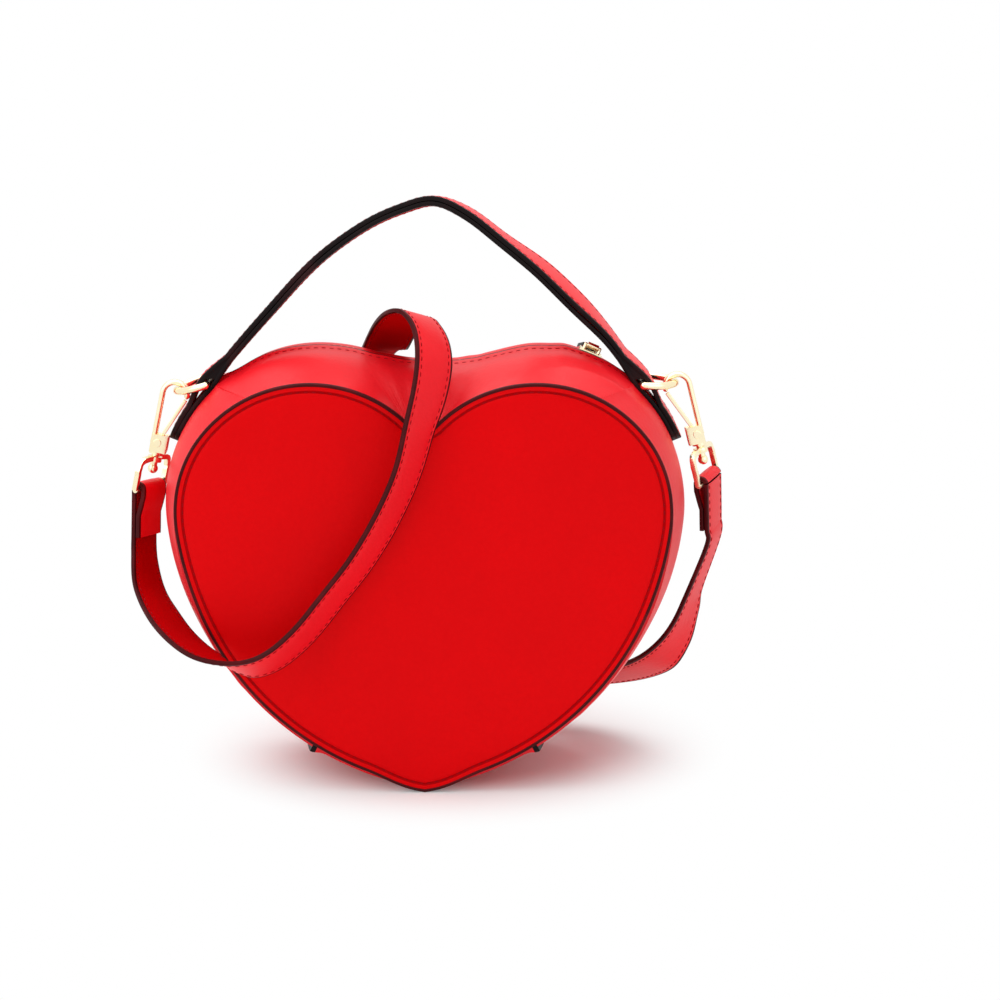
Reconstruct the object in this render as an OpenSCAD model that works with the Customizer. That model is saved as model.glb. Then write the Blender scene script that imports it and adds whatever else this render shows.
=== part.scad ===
// Heart shaped leather purse with a zip across the top, a carrying handle on two rings
// and a shoulder strap clipped to the same rings. Millimetres, X right, Y away from the
// front, Z up. The origin is the point of the heart, half-way through the bag's depth.

/* [Heart panels] */
// Sideways place of a panel lobe's centre
panel_lobe_x = 45; // [42:0.5:48]
// Height of a panel lobe's centre
panel_lobe_z = 112; // [108:0.5:116]
// Radius of a panel lobe
panel_lobe_r = 55; // [52:0.5:56]
// Radius of a panel flank, from lobe to tip
panel_flank_r = 120; // [114:1:130]
// How far the bottom of the panel's notch lies below the top of its lobes
panel_notch_drop = 19; // [15:0.5:25]
// Thickness of the panel leather
panel_t = 2; // [1.4:0.1:2.4]
// How far the painted edge stands past the panel's rim
edge_paint = 0.9; // [0.4:0.1:1.4]
// How far the painted edge stands proud of the panel's face
edge_proud = 0.2; // [0.1:0.1:0.5]

/* [Gusset] */
// Depth of the bag over both panels
bag_depth = 80; // [74:1:90]
// Sideways place of a gusset lobe's centre, half-way through the depth
crest_lobe_x = 42; // [40:0.5:44]
// Height of a gusset lobe's centre
crest_lobe_z = 114; // [112:0.5:116]
// Radius of a gusset lobe
crest_lobe_r = 64; // [62:0.5:66]
// Radius of a gusset flank
crest_flank_r = 120; // [114:1:130]
// How far the dip between the gusset's lobes lies below their top
crest_dip_drop = 5.7; // [4.5:0.1:8]
// Half the width of the gusset's flat middle band
crest_band_half_w = 11; // [10:0.5:14]
// Thickness of the gusset leather
gusset_t = 1.6; // [1:0.1:2]
// Angle on the lobe where the zip strips meet the side gussets
strip_end_angle = 49; // [47:1:51]
// Sideways place of the ends of the base piece
base_end_x = 48.5; // [40:0.5:60]

/* [Lining] */
// Thickness of the lining cloth
lining_t = 0.6; // [0.4:0.1:0.8]
// Gap between one sewn layer and the next
layer_gap = 0.1; // [0.05:0.05:0.15]
// Thickness of the stiffening board and of the seam tape
board_t = 1.2; // [0.8:0.1:1.6]
// Width of the seam tape
tape_w = 6; // [4:0.5:8]
// Width of the slip pocket
pocket_w = 90; // [60:1:100]
// Height of the slip pocket
pocket_h = 55; // [40:1:60]
// Height of the slip pocket's lower edge
pocket_z = 55; // [50:1:60]

/* [Zip] */
// Angle on the lobe where the row of teeth ends
zip_end_angle = 52; // [52:1:56]
// Distance from one tooth to the next in a row
tooth_pitch = 2.6; // [2.4:0.1:3.2]
// How far a tooth reaches to its own side of the middle
tooth_out = 2.6; // [2.4:0.1:2.8]
// How far a tooth reaches past the middle
tooth_in = 0.8; // [0.6:0.1:1]
// How far the teeth stand above the strips
tooth_rise = 0.5; // [0.2:0.1:0.6]
// Width of each tape under its strip
zip_tape_w = 6; // [4:0.5:8]
// Half the width of the slot between the strips
zip_slot = 3.5; // [3.4:0.1:4]
// Angle on the right lobe where the slider stands
slider_angle = 67; // [62:1:72]
// Length of the slider
slider_l = 9; // [7:0.5:10]
// Half the width of the slider's plate
slider_half_w = 4.2; // [3.8:0.1:5]
// Thickness of the slider's plate
slider_t = 1.2; // [0.8:0.1:1.4]
// Height of the puller's pivot above the slider's plate
bail_h = 1.9; // [1.8:0.1:2.2]
// Radius of the slider's bail bar
bail_r = 0.6; // [0.5:0.05:0.7]
// Length of the puller's metal link
link_l = 8; // [6:0.5:10]
// Length of the puller's leather tab
pull_l = 26; // [20:1:28]
// Width of the puller's leather tab
pull_w = 7; // [6:0.5:9]
// Thickness of the puller's leather tab
pull_t = 1.6; // [1.2:0.1:1.8]
// How far the puller slopes down over the rear strip
pull_slope = 11; // [10:0.5:11]

/* [Handle] */
// Width of the handle
handle_w = 20; // [18:0.5:22]
// Thickness of each of the handle's two layers
layer_t = 1.8; // [1.4:0.1:1.9]
// How far inside the rings' bars the handle's ends stand
handle_inset = 8.9; // [7.9:0.1:9.9]
// Height of the handle's turning line above the rings' bars
handle_axis_rise = 15.4; // [14.4:0.1:16.4]
// Height above the rings' bars at which the handle's two layers part
handle_join_rise = 10.4; // [9.4:0.1:11.4]
// Rise of the handle from there to its top
handle_rise = 63; // [48:1:76]
// Angle on the lobe where a tab starts
tab_start_angle = 22; // [18:1:26]
// Angle on the lobe where a tab's outer layer leaves for the ring
tab_rise_angle = 36; // [34:1:37]
// Angle on the lobe where a tab's inner layer leaves the gusset
tab_leave_angle = 47; // [46:0.5:48]
// Furthest angle that the tab's cut lets the handle swing
swing_room = 50; // [48:1:55]
// Gap between the handle's round end and the tab's cut
swing_gap = 0.4; // [0.3:0.05:0.5]

/* [Rings] */
// Radius of the ring's wire
ring_wire_r = 1.5; // [1.2:0.1:1.6]
// Radius of the ring's bow, on the wire's middle
ring_bow_r = 13.6; // [13.4:0.1:14.2]
// Angle on the lobe where the ring's bar lies
ring_angle = 46; // [45:0.5:47]
// How far the left ring hangs below level
ring_tilt_left = 17; // [14:1:18]
// How far the right ring hangs below level
ring_tilt_right = 3; // [2:1:6]

/* [Hooks] */
// Width of the hook's arm and arch
hook_arm_w = 2.4; // [2:0.1:2.6]
// Depth of the hook's arm and arch
hook_depth = 4; // [3.6:0.1:4.4]
// Radius of the arch, on the middle of its arm
arch_r = 5; // [4.9:0.1:5.2]
// Height of the arch's centre above the gate's pin
arch_h = 21; // [20:0.5:22]
// Sideways place of the arch's centre from the gate's pin
arch_u = 3.2; // [3:0.1:3.4]
// How far the left hook leans towards the bag
lean_left = 12; // [12:0.5:14]
// How far the right hook leans towards the bag
lean_right = 14; // [13:0.5:16]
// Radius of the gate's pin
gate_pin_r = 1; // [0.8:0.1:1.1]
// Thickness of the gate
gate_t = 1.6; // [1.2:0.1:1.7]
// Depth of the gate
gate_depth = 2; // [1.6:0.1:2.1]
// Radius of the hook's swivel post
post_r = 1.5; // [1.3:0.1:1.6]
// Running clearance of the pin and of the post
turn_fit = 0.05; // [0.03:0.01:0.08]
// Radius of the strap eye's wire
eye_wire_r = 1.1; // [0.9:0.1:1.2]
// Half the width of the strap eye, on the wire's middle
eye_half_w = 12; // [11.5:0.1:13]

/* [Shoulder strap] */
// Width of the shoulder strap
strap_w = 18.5; // [17:0.5:19.5]
// Thickness of the shoulder strap's two layers together
strap_t = 2; // [1.6:0.1:2.2]
// Length of the folded end below the eye's bar
fold_l = 20; // [16:1:22]

/* [Hidden] */

// One overrun serves every cut
cut = 1;
// Steps along the notch, the lobe and the flank of an outline
outline_steps = [6, 24, 16];
// Facets of a full turn on round metal
$fn = 48;

leather_red = "#dd1119";
leather_lit = "#e8303c";
paint_black = "#1c1614";
lining_red = "#8e1a20";
board_grey = "#8a8278";
brass_gold = "#d9b45a";

// Blends
function mix(a, b, t) = a + (b - a) * t;
function steps(n) = [for (i = [0:n]) i / n];
function unit(v) = v / norm(v);
function mirrored(p) = [-p[0], p[1]];
function reversed(list) = [for (i = [len(list) - 1:-1:0]) list[i]];

// A heart outline is a notch arc, a lobe arc and a flank arc. It is held as
// [lobe centre, lobe radius, flank centre, flank radius, notch centre, notch radius].
function flank_centre(lobe, lobe_r, flank_r) =
    let (d = norm(lobe), a = (flank_r ^ 2 - (flank_r - lobe_r) ^ 2 + d ^ 2) / (2 * d))
    (lobe * a + [-lobe[1], lobe[0]] * sqrt(flank_r ^ 2 - a ^ 2)) / d;
function notch_radius(lobe, lobe_r, drop) = (lobe[0] ^ 2 + (lobe_r - drop) ^ 2 - lobe_r ^ 2) / (2 * drop);
function heart(lobe, lobe_r, flank_r, drop) =
    let (notch_r = notch_radius(lobe, lobe_r, drop))
    [lobe, lobe_r, flank_centre(lobe, lobe_r, flank_r), flank_r,
        [0, lobe[1] + lobe_r - drop + notch_r], notch_r];

// Angles where the arcs meet
function lobe_first(h) = atan2(h[0][1] - h[4][1], h[0][0]) + 180;
function lobe_last(h) = atan2(h[0][1] - h[2][1], h[0][0] - h[2][0]);
function flank_last(h, grow) = -acos(-h[2][0] / (h[3] + grow));

// Point at place s on the right half, 0 in the notch and 3 at the tip, grown outwards
function on_arc(centre, r, angle) = centre + [cos(angle), sin(angle)] * r;
function heart_half(h, s, grow) =
    s <= 1 ? on_arc(h[4], h[5] - grow, mix(-90, lobe_first(h) - 180, s))
    : s <= 2 ? on_arc(h[0], h[1] + grow, mix(lobe_first(h), lobe_last(h), s - 1))
    : on_arc(h[2], h[3] + grow, mix(lobe_last(h), flank_last(h, grow), s - 2));
function heart_point(h, s, grow) =
    s < 0 ? mirrored(heart_half(h, -s, grow)) : heart_half(h, s, grow);
function heart_s(h, angle) = 1 + (lobe_first(h) - angle) / (lobe_first(h) - lobe_last(h));

panel_heart = heart([panel_lobe_x, panel_lobe_z], panel_lobe_r, panel_flank_r, panel_notch_drop);
crest_heart = heart([crest_lobe_x, crest_lobe_z], crest_lobe_r, crest_flank_r, crest_dip_drop);

// Places along half an outline, each arc in its own even steps
half_places = concat([for (t = steps(outline_steps[0])) t],
    [for (i = [1:outline_steps[1]]) 1 + i / outline_steps[1]],
    [for (i = [1:outline_steps[2]]) 2 + i / outline_steps[2]]);
function heart_outline(h, grow) =
    concat([for (s = half_places) heart_half(h, s, grow)],
    [for (i = [len(half_places) - 2:-1:1]) mirrored(heart_half(h, half_places[i], grow))]);

// Levels through the depth
panel_back = bag_depth / 2 - panel_t;
board_back = panel_back - board_t;
lining_front = board_back - layer_gap;
lining_back = lining_front - lining_t;
lining_edge = lining_back - layer_gap;
pocket_back = lining_edge - lining_t;

// The gusset bulges from the panel's rim to a flat band half-way through the depth
function bulge(y) = abs(y) <= crest_band_half_w ? 1
    : sin(90 * (panel_back - abs(y)) / (panel_back - crest_band_half_w));
function skin_point(s, y, grow) =
    let (p = mix(heart_point(panel_heart, s, grow), heart_point(crest_heart, s, grow), bulge(y)))
    [p[0], y, p[1]];

// Places of the pieces round the gusset
strip_end = heart_s(crest_heart, strip_end_angle);
base_end = 2 + (lobe_last(crest_heart)
    + acos((base_end_x - crest_heart[2][0]) / crest_flank_r))
    / (lobe_last(crest_heart) - flank_last(crest_heart, 0));
strip_places = [for (t = steps(44)) mix(-strip_end, strip_end, t)];
side_places = [for (t = steps(18)) mix(strip_end, base_end, t)];
base_places = concat([for (t = steps(6)) mix(base_end, 3, t)],
    [for (t = steps(6)) if (t > 0) -mix(3, base_end, t)]);
bag_places = concat([for (s = side_places) if (s < base_end) s], base_places,
    [for (s = reversed(side_places)) if (s < base_end) -s]);

// Levels across a gusset, close together where it bulges
function across_half(edge) = concat([-edge],
    [for (t = steps(5)) if (t > 0) mix(-panel_back, -crest_band_half_w, t)]);
function across(edge) = concat(across_half(edge), -reversed(across_half(edge)));
function across_strip(edge, inner) = concat(across_half(edge), [-inner]);

// A sheet of even thickness over places and levels, closed all round
module skin(places, levels, outside, inside) {
    columns = len(levels);
    count = len(places) * columns;
    last = len(places) - 1;
    function at(i, j) = i * columns + j;
    points = concat([for (s = places) for (y = levels) skin_point(s, y, outside)],
        [for (s = places) for (y = levels) skin_point(s, y, inside)]);
    outer = [for (i = [0:last - 1]) for (j = [0:columns - 2]) each
        [[at(i, j), at(i + 1, j + 1), at(i + 1, j)], [at(i, j), at(i, j + 1), at(i + 1, j + 1)]]];
    inner = [for (f = outer) [f[0] + count, f[2] + count, f[1] + count]];
    sides = [for (i = [0:last - 1]) for (j = [0, columns - 1])
        j > 0 ? [at(i, j), at(i, j) + count, at(i + 1, j) + count, at(i + 1, j)]
        : [at(i, j), at(i + 1, j), at(i + 1, j) + count, at(i, j) + count]];
    ends = [for (j = [0:columns - 2]) for (i = [0, last])
        i > 0 ? [at(i, j), at(i, j + 1), at(i, j + 1) + count, at(i, j) + count]
        : [at(i, j), at(i, j) + count, at(i, j + 1) + count, at(i, j + 1)]];
    halves = [for (q = concat(sides, ends)) each [[q[0], q[1], q[2]], [q[0], q[2], q[3]]]];
    polyhedron(points, concat(outer, inner, halves));
}

// A flat shape in X and Z, given a thickness along Y
module plate(from, to) {
    translate([0, to, 0]) rotate([90, 0, 0]) linear_extrude(to - from) children();
}
module faced(side) { mirror([0, side > 0 ? 1 : 0, 0]) children(); }
module sided(side) { mirror([side > 0 ? 1 : 0, 0, 0]) children(); }
module heart_plate(grow) { polygon(heart_outline(panel_heart, grow)); }

// Panels and what lies behind them. The front faces -Y, the rear is its mirror image.
module panel(side) {
    color(leather_red) faced(side) plate(-bag_depth / 2, -panel_back) heart_plate(0);
}
module painted_edge(side) {
    color(paint_black) faced(side) plate(-bag_depth / 2 - edge_proud, -panel_back)
        difference() {
            heart_plate(edge_paint);
            heart_plate(0);
        }
}
tape_outside = -gusset_t - 4 * layer_gap;
module seam_tape(side) {
    color(lining_red) faced(side) plate(-panel_back, -board_back)
        difference() {
            heart_plate(tape_outside);
            heart_plate(tape_outside - tape_w);
        }
}
module board(side) {
    color(board_grey) faced(side) plate(-panel_back, -board_back)
        heart_plate(tape_outside - tape_w - layer_gap);
}
module lining_sheet(side) {
    color(lining_red) faced(side) plate(-lining_front, -lining_back)
        heart_plate(tape_outside - gusset_t);
}
module slip_pocket() {
    color(lining_red) plate(pocket_back, lining_edge)
        translate([-pocket_w / 2, pocket_z]) square([pocket_w, pocket_h]);
}

// Gusset leather: two strips beside the zip, two sides and a base piece
module zip_strip(side) {
    color(leather_lit) faced(side)
        skin(strip_places, across_strip(panel_back, zip_slot), 0, -gusset_t);
}
module side_gusset(side) {
    places = side > 0 ? side_places : -reversed(side_places);
    color(leather_red) skin(places, across(panel_back), 0, -gusset_t);
}
module base_gusset() {
    color(leather_red) skin(base_places, across(panel_back), 0, -gusset_t);
}
lining_outside = -gusset_t - 2 * layer_gap;
module gusset_lining() {
    color(lining_red)
        skin(bag_places, across(lining_edge), lining_outside, lining_outside - lining_t);
}
zip_tape_end = tooth_out + zip_tape_w;
module strip_lining(side) {
    color(lining_red) faced(side)
        skin(strip_places, across_strip(lining_edge, zip_tape_end + layer_gap),
            lining_outside, lining_outside - lining_t);
}

// The zip follows the gusset's crest. Its rows are measured along the crest.
dip_l = crest_heart[5] * (lobe_first(crest_heart) - 90) * PI / 180;
lobe_l = crest_lobe_r * (lobe_first(crest_heart) - lobe_last(crest_heart)) * PI / 180;
zip_half_l = dip_l + crest_lobe_r * (lobe_first(crest_heart) - zip_end_angle) * PI / 180;
function crest_place(l) = sign(l) * (abs(l) < dip_l ? abs(l) / dip_l : 1 + (abs(l) - dip_l) / lobe_l);
function crest_point(l, grow) = heart_point(crest_heart, crest_place(l), grow);
function crest_band_outline(from, to, low, high, n) =
    concat([for (t = steps(n)) crest_point(mix(from, to, t), high)],
    [for (t = steps(n)) crest_point(mix(to, from, t), low)]);
// The tapes keep the strips' own places, so that the two lie evenly together
function strip_outline(low, high) = concat([for (s = strip_places) heart_point(crest_heart, s, high)],
    reversed([for (s = strip_places) heart_point(crest_heart, s, low)]));
tape_low = lining_outside - lining_t;
tooth_length_share = 0.42;
module zip_tape(side) {
    color(lining_red) faced(side) plate(-zip_tape_end, -tooth_out - layer_gap / 2)
        polygon(strip_outline(tape_low, lining_outside));
}
tooth_count = floor(2 * zip_half_l / tooth_pitch) - 1;
module tooth_row(phase) {
    half = tooth_pitch * tooth_length_share / 2;
    first = -tooth_count / 2 * tooth_pitch + phase * tooth_pitch;
    for (i = [0:tooth_count - 1]) {
        middle = first + i * tooth_pitch;
        polygon(crest_band_outline(middle - half, middle + half, tape_low, tooth_rise, 1));
    }
}
module zip_teeth(side, phase) {
    row_end = tooth_count / 2 * tooth_pitch + tooth_pitch;
    color(brass_gold) faced(side) union() {
        plate(-tooth_out, tooth_in) tooth_row(phase);
        plate(-tooth_out, -tooth_in - layer_gap)
            polygon(crest_band_outline(-row_end, row_end, tape_low, lining_outside, 60));
    }
}
stop_l = tooth_pitch;
module zip_stops() {
    from = zip_half_l + layer_gap;
    color(brass_gold) for (side = [-1, 1])
        sided(side) plate(-tooth_out, tooth_out)
            polygon(crest_band_outline(-from - stop_l, -from, lining_outside + layer_gap, tooth_rise, 2));
}

// Slider and puller, drawn with the lobe's centre below them and Z away from it
module on_lobe(angle) {
    translate([crest_lobe_x, 0, crest_lobe_z]) rotate([0, 90 - angle, 0]) children();
}
function lobe_band(low, high, half_l, n) =
    let (a = half_l / low * 180 / PI)
    concat([for (t = steps(n)) on_arc([0, 0], high, mix(90 + a, 90 - a, t))],
    [for (t = steps(n)) on_arc([0, 0], low, mix(90 - a, 90 + a, t))]);
slider_gap = 0.4;
slider_low = crest_lobe_r + tooth_rise + slider_gap;
slider_top = slider_low + slider_t;
flange_fit = 0.15;
flange_low = crest_lobe_r + lining_outside + 3 * layer_gap;
pull_pivot = slider_top + bail_h;
bail_half = 3.2;
module zip_slider() {
    flange_in = tooth_out + flange_fit;
    flange_out = zip_slot - flange_fit;
    color(brass_gold) on_lobe(slider_angle) union() {
        plate(-slider_half_w, slider_half_w)
            polygon(lobe_band(slider_low, slider_top, slider_l / 2, 6));
        for (side = [-1, 1]) faced(side) plate(-flange_out, -flange_in)
            polygon(lobe_band(flange_low, slider_top, slider_l / 2, 6));
        for (side = [-1, 1]) translate([side * bail_half, 0, slider_low + slider_t / 2])
            cylinder(r = bail_r, h = pull_pivot - slider_low - slider_t / 2);
        for (side = [-1, 1]) translate([side * bail_half, 0, pull_pivot]) sphere(bail_r);
        translate([-bail_half, 0, pull_pivot]) rotate([0, 90, 0])
            cylinder(r = bail_r, h = 2 * bail_half);
    }
}
module on_pull() {
    on_lobe(slider_angle) translate([0, 0, pull_pivot]) rotate([-pull_slope, 0, 0]) children();
}
link_side_gap = 0.24;
link_half = bail_half - bail_r - link_side_gap;
link_wire = 2 * bail_r;
link_barrel_r = bail_r + turn_fit + bail_r;
link_eye_l = link_l - link_barrel_r - 2 * link_wire;
module zip_pull_link() {
    color(brass_gold) on_pull() difference() {
        union() {
            translate([-link_half, 0, 0]) rotate([0, 90, 0])
                cylinder(r = link_barrel_r, h = 2 * link_half);
            translate([-link_half, 0, -link_wire / 2]) cube([2 * link_half, link_l, link_wire]);
        }
        translate([-link_half - cut, 0, 0]) rotate([0, 90, 0])
            cylinder(r = bail_r + turn_fit, h = 2 * link_half + 2 * cut);
        translate([-link_half + bail_r, link_barrel_r + link_wire / 2, -link_wire])
            cube([2 * link_half - 2 * bail_r, link_eye_l, 2 * link_wire]);
    }
}
// The tab's end is folded through the link's eye, and its edge rests on the link
tab_from = link_l + layer_gap;
tongue_end_t = 0.5;
module zip_pull_tab() {
    tongue_half = link_half - bail_r - layer_gap;
    tongue_from = link_l - 2 * link_wire + layer_gap / 2;
    color(leather_red) on_pull() union() {
        translate([-pull_w / 2, tab_from, -pull_t / 2]) cube([pull_w, pull_l - pull_w / 2, pull_t]);
        translate([0, tab_from + pull_l - pull_w / 2, -pull_t / 2])
            cylinder(r = pull_w / 2, h = pull_t);
        for (side = [-1, 1]) translate([-tongue_half, tongue_from, side * (link_wire + pull_t / 2) / 2
            - pull_t / 4]) cube([2 * tongue_half, tab_from - tongue_from + layer_gap, pull_t / 2]);
        translate([-tongue_half, tongue_from, -link_wire / 2 - pull_t / 4])
            cube([2 * tongue_half, tongue_end_t, link_wire + pull_t / 2]);
    }
}

// The handle runs up from one tab and down to the other in two layers that part round
// the rings. Smooth bands through round points, drawn in X and Z and given the width.
function spline(p, i, t) =
    let (a = p[max(i - 1, 0)], b = p[i], c = p[i + 1], d = p[min(i + 2, len(p) - 1)])
    0.5 * (2 * b + (c - a) * t + (2 * a - 5 * b + 4 * c - d) * t ^ 2
        + (3 * b - a - 3 * c + d) * t ^ 3);
function smooth(p, n) = concat([for (i = [0:len(p) - 2]) for (k = [0:n - 1]) spline(p, i, k / n)],
    [p[len(p) - 1]]);
// The same, without the last stretch and the last point, which only give the direction there
function smooth_to(p, n) = [for (i = [0:len(p) - 3]) for (k = [0:n - 1]) spline(p, i, k / n)];
function along(p, i) = unit(p[min(i + 1, len(p) - 1)] - p[max(i - 1, 0)]);
function beside(p, by) = [for (i = [0:len(p) - 1])
    let (d = along(p, i)) p[i] + [-d[1], d[0]] * by];
function band(p, half) = concat(beside(p, half), reversed(beside(p, -half)));

// Shares of half the span and of the rise above the place where the layers part
handle_shares = [[-1, 0], [-0.85, 0.27], [-0.66, 0.556], [-0.5, 0.746], [-0.325, 0.889],
    [-0.15, 0.968], [0.025, 1], [0.19, 0.905], [0.375, 0.73], [0.575, 0.54], [0.76, 0.333],
    [0.91, 0.143], [1, 0]];
layer_shift = (layer_t + layer_gap) / 2;
tab_inner_r = crest_lobe_r + layer_gap + layer_t / 2;
tab_outer_r = tab_inner_r + layer_t + layer_gap;
ring_bar_r = crest_lobe_r + layer_gap + layer_t + layer_gap + ring_wire_r;
crest_lobe = [crest_lobe_x, crest_lobe_z];
ring_bar = on_arc(crest_lobe, ring_bar_r, ring_angle);
handle_span = 2 * (ring_bar[0] - handle_inset);
handle_axis_z = ring_bar[1] + handle_axis_rise;
handle_join_z = ring_bar[1] + handle_join_rise;
handle_top_z = handle_join_z + handle_rise;
handle_line = [for (q = handle_shares)
    [q[0] * handle_span / 2, mix(handle_join_z, handle_top_z, q[1])]];
ring_wrap_r = ring_wire_r + layer_gap + layer_t / 2;
// Angle round the ring's bar where the outer layer passes it closest
wrap_angle = 38;
handle_curve = smooth(handle_line, 4);
// A tab's line runs from the join down to its arc on the gusset, then round that arc
function tab_line(join, stops, r, angle) =
    let (arc = [for (t = steps(8)) on_arc(crest_lobe, r, mix(angle, tab_start_angle, t))])
    concat(smooth_to(concat([join], stops, [arc[0], arc[1]]), 5), arc);
function tab_path(by, stops, r, angle) =
    let (middle = beside(handle_curve, by))
    concat([for (p = reversed(tab_line(mirrored(middle[0]), stops, r, angle))) mirrored(p)],
    [for (i = [1:len(middle) - 2]) middle[i]],
    tab_line(middle[len(middle) - 1], stops, r, angle));
inner_path = tab_path(-layer_shift, [], tab_inner_r, tab_leave_angle);
outer_path = tab_path(layer_shift, [on_arc(ring_bar, ring_wrap_r, wrap_angle)],
    tab_outer_r, tab_rise_angle);

// The cut between a tab and the handle is round about the line on which the handle turns
tongue_r = handle_w / 2;
socket_r = tongue_r + swing_gap;
socket_rise = (tongue_r - socket_r * cos(swing_room)) / tan(swing_room)
    - socket_r * sin(swing_room);
module along_x(reach) {
    translate([-reach, 0, handle_axis_z]) rotate([90, 0, 90]) linear_extrude(2 * reach) children();
}
module tab_side_view() {
    polygon(concat([[-tongue_r, -handle_w * 4], [-tongue_r, socket_rise]],
        [for (t = steps(16)) on_arc([0, 0], socket_r, mix(-180 + swing_room, -swing_room, t))],
        [[tongue_r, socket_rise], [tongue_r, -handle_w * 4]]));
}
module handle_side_view() {
    polygon(concat([for (t = steps(24)) on_arc([0, 0], tongue_r, mix(-180, 0, t))],
        [[tongue_r, handle_w * 4], [-tongue_r, handle_w * 4]]));
}
module tab_layer(path, side) {
    color(leather_red) intersection() {
        plate(-handle_w / 2, handle_w / 2) polygon(band(path, layer_t / 2));
        along_x(handle_span) tab_side_view();
        sided(side) translate([-handle_span, -handle_w, 0])
            cube([handle_span, 2 * handle_w, 2 * handle_top_z]);
    }
}
module handle_layer(path) {
    color(leather_red) intersection() {
        plate(-handle_w / 2, handle_w / 2) polygon(band(path, layer_t / 2));
        along_x(handle_span) handle_side_view();
    }
}

// Rings, drawn on the left and mirrored for the right
function ring_tilt(side) = side < 0 ? ring_tilt_left : ring_tilt_right;
module ring(side) {
    color(brass_gold) sided(side) translate([-ring_bar[0], 0, ring_bar[1]])
        rotate([0, -ring_tilt(side), 0]) union() {
            rotate([0, 0, 90]) rotate_extrude(angle = 180) translate([ring_bow_r, 0]) circle(ring_wire_r);
            translate([0, -ring_bow_r, 0]) rotate([-90, 0, 0]) cylinder(r = ring_wire_r, h = 2 * ring_bow_r);
            for (y = [-ring_bow_r, ring_bow_r]) translate([0, y, 0]) sphere(ring_wire_r);
        }
}

// Snap hooks. In a hook's own frame the gate's pin is the origin, X goes towards the bag
// and Z up the arm. The ring's wire hangs in the top of the arch.
function lean(side) = side < 0 ? lean_left : lean_right;
wire_gap = 0.4;
wire_rest = [arch_u + wire_gap, arch_h + arch_r - hook_arm_w / 2 - ring_wire_r - wire_gap];
function hook_pin(side) =
    let (a = lean(side), tilt = ring_tilt(side),
        wire = [-ring_bar[0] - ring_bow_r * cos(tilt), ring_bar[1] - ring_bow_r * sin(tilt)])
    wire - [wire_rest[0] * cos(a) + wire_rest[1] * sin(a), wire_rest[1] * cos(a) - wire_rest[0] * sin(a)];
module on_hook(side) {
    pin = hook_pin(side);
    sided(side) translate([pin[0], 0, pin[1]]) rotate([0, lean(side), 0]) children();
}
// The barrel that holds the gate, its slot, the swivel flange and the post below it, each
// measured from the gate's pin
barrel_step = 0.2;
barrel_left = arch_r - arch_u + hook_arm_w / 2 - barrel_step;
barrel_right = 4.4;
barrel_top = 3.4;
barrel_low = 4;
barrel_depth = 5.5;
slot_fit = 0.2;
slot_half = gate_depth / 2 + slot_fit;
slot_low = 2.4;
slot_left = 1.8;
flange_t = 0.8;
flange_r = 2.9;
post_l = 5;
ball_r = 2.1;
post_low = barrel_low + flange_t + post_l;
nose_angle = -13;
module arch_outline() {
    inner = arch_r - hook_arm_w / 2;
    outer = arch_r + hook_arm_w / 2;
    polygon(concat([for (t = steps(32)) on_arc([arch_u, arch_h], outer, mix(nose_angle, 180, t))],
        [for (t = steps(32)) on_arc([arch_u, arch_h], inner, mix(180, nose_angle, t))]));
}
module hook_body(side) {
    color(brass_gold) on_hook(side) difference() {
        union() {
            plate(-hook_depth / 2, hook_depth / 2) arch_outline();
            translate([arch_u - arch_r - hook_arm_w / 2, -hook_depth / 2, 0])
                cube([hook_arm_w, hook_depth, arch_h]);
            translate([-barrel_left, -barrel_depth / 2, -barrel_low])
                cube([barrel_left + barrel_right, barrel_depth, barrel_low + barrel_top]);
            translate([0, 0, -barrel_low - flange_t]) cylinder(r = flange_r, h = flange_t);
            translate([0, 0, -post_low]) cylinder(r = post_r, h = post_low - barrel_low);
            translate([0, 0, -post_low - post_r]) sphere(ball_r);
        }
        translate([-slot_left, -slot_half, -slot_low])
            cube([slot_left + barrel_right + cut, 2 * slot_half, slot_low + barrel_top + cut]);
        rotate([90, 0, 0]) cylinder(r = gate_pin_r + turn_fit, h = 2 * barrel_depth, center = true);
    }
}
pin_head_step = 0.65;
pin_head_r = gate_pin_r + pin_head_step;
pin_head_t = 0.5;
module hook_pin_piece(side) {
    reach = barrel_depth / 2 + layer_gap / 2;
    color(brass_gold) on_hook(side) union() {
        rotate([90, 0, 0]) cylinder(r = gate_pin_r, h = 2 * reach, center = true);
        for (face = [-1, 1]) faced(face) translate([0, -reach, 0]) rotate([90, 0, 0])
            cylinder(r = pin_head_r, h = pin_head_t);
    }
}
spring_t = 0.3;
module hook_spring(side) {
    color(brass_gold) on_hook(side)
        translate([-slot_left + layer_gap, -gate_depth / 2, -slot_low + layer_gap / 2])
            cube([slot_left + barrel_right - 2 * layer_gap, gate_depth, spring_t]);
}
gate_root_r = 1.6;
gate_gap = 0.5;
gate_tip_r = norm([arch_u + arch_r, arch_h + arch_r * sin(nose_angle)]) - gate_gap;
gate_angle = 22.4;
module gate(side) {
    color(brass_gold) on_hook(side) difference() {
        union() {
            rotate([90, 0, 0]) cylinder(r = gate_root_r, h = gate_depth, center = true);
            rotate([0, gate_angle, 0]) translate([-gate_t / 2, -gate_depth / 2, 0])
                cube([gate_t, gate_depth, gate_tip_r]);
        }
        rotate([90, 0, 0]) cylinder(r = gate_pin_r + turn_fit, h = 2 * barrel_depth, center = true);
    }
}

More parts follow.
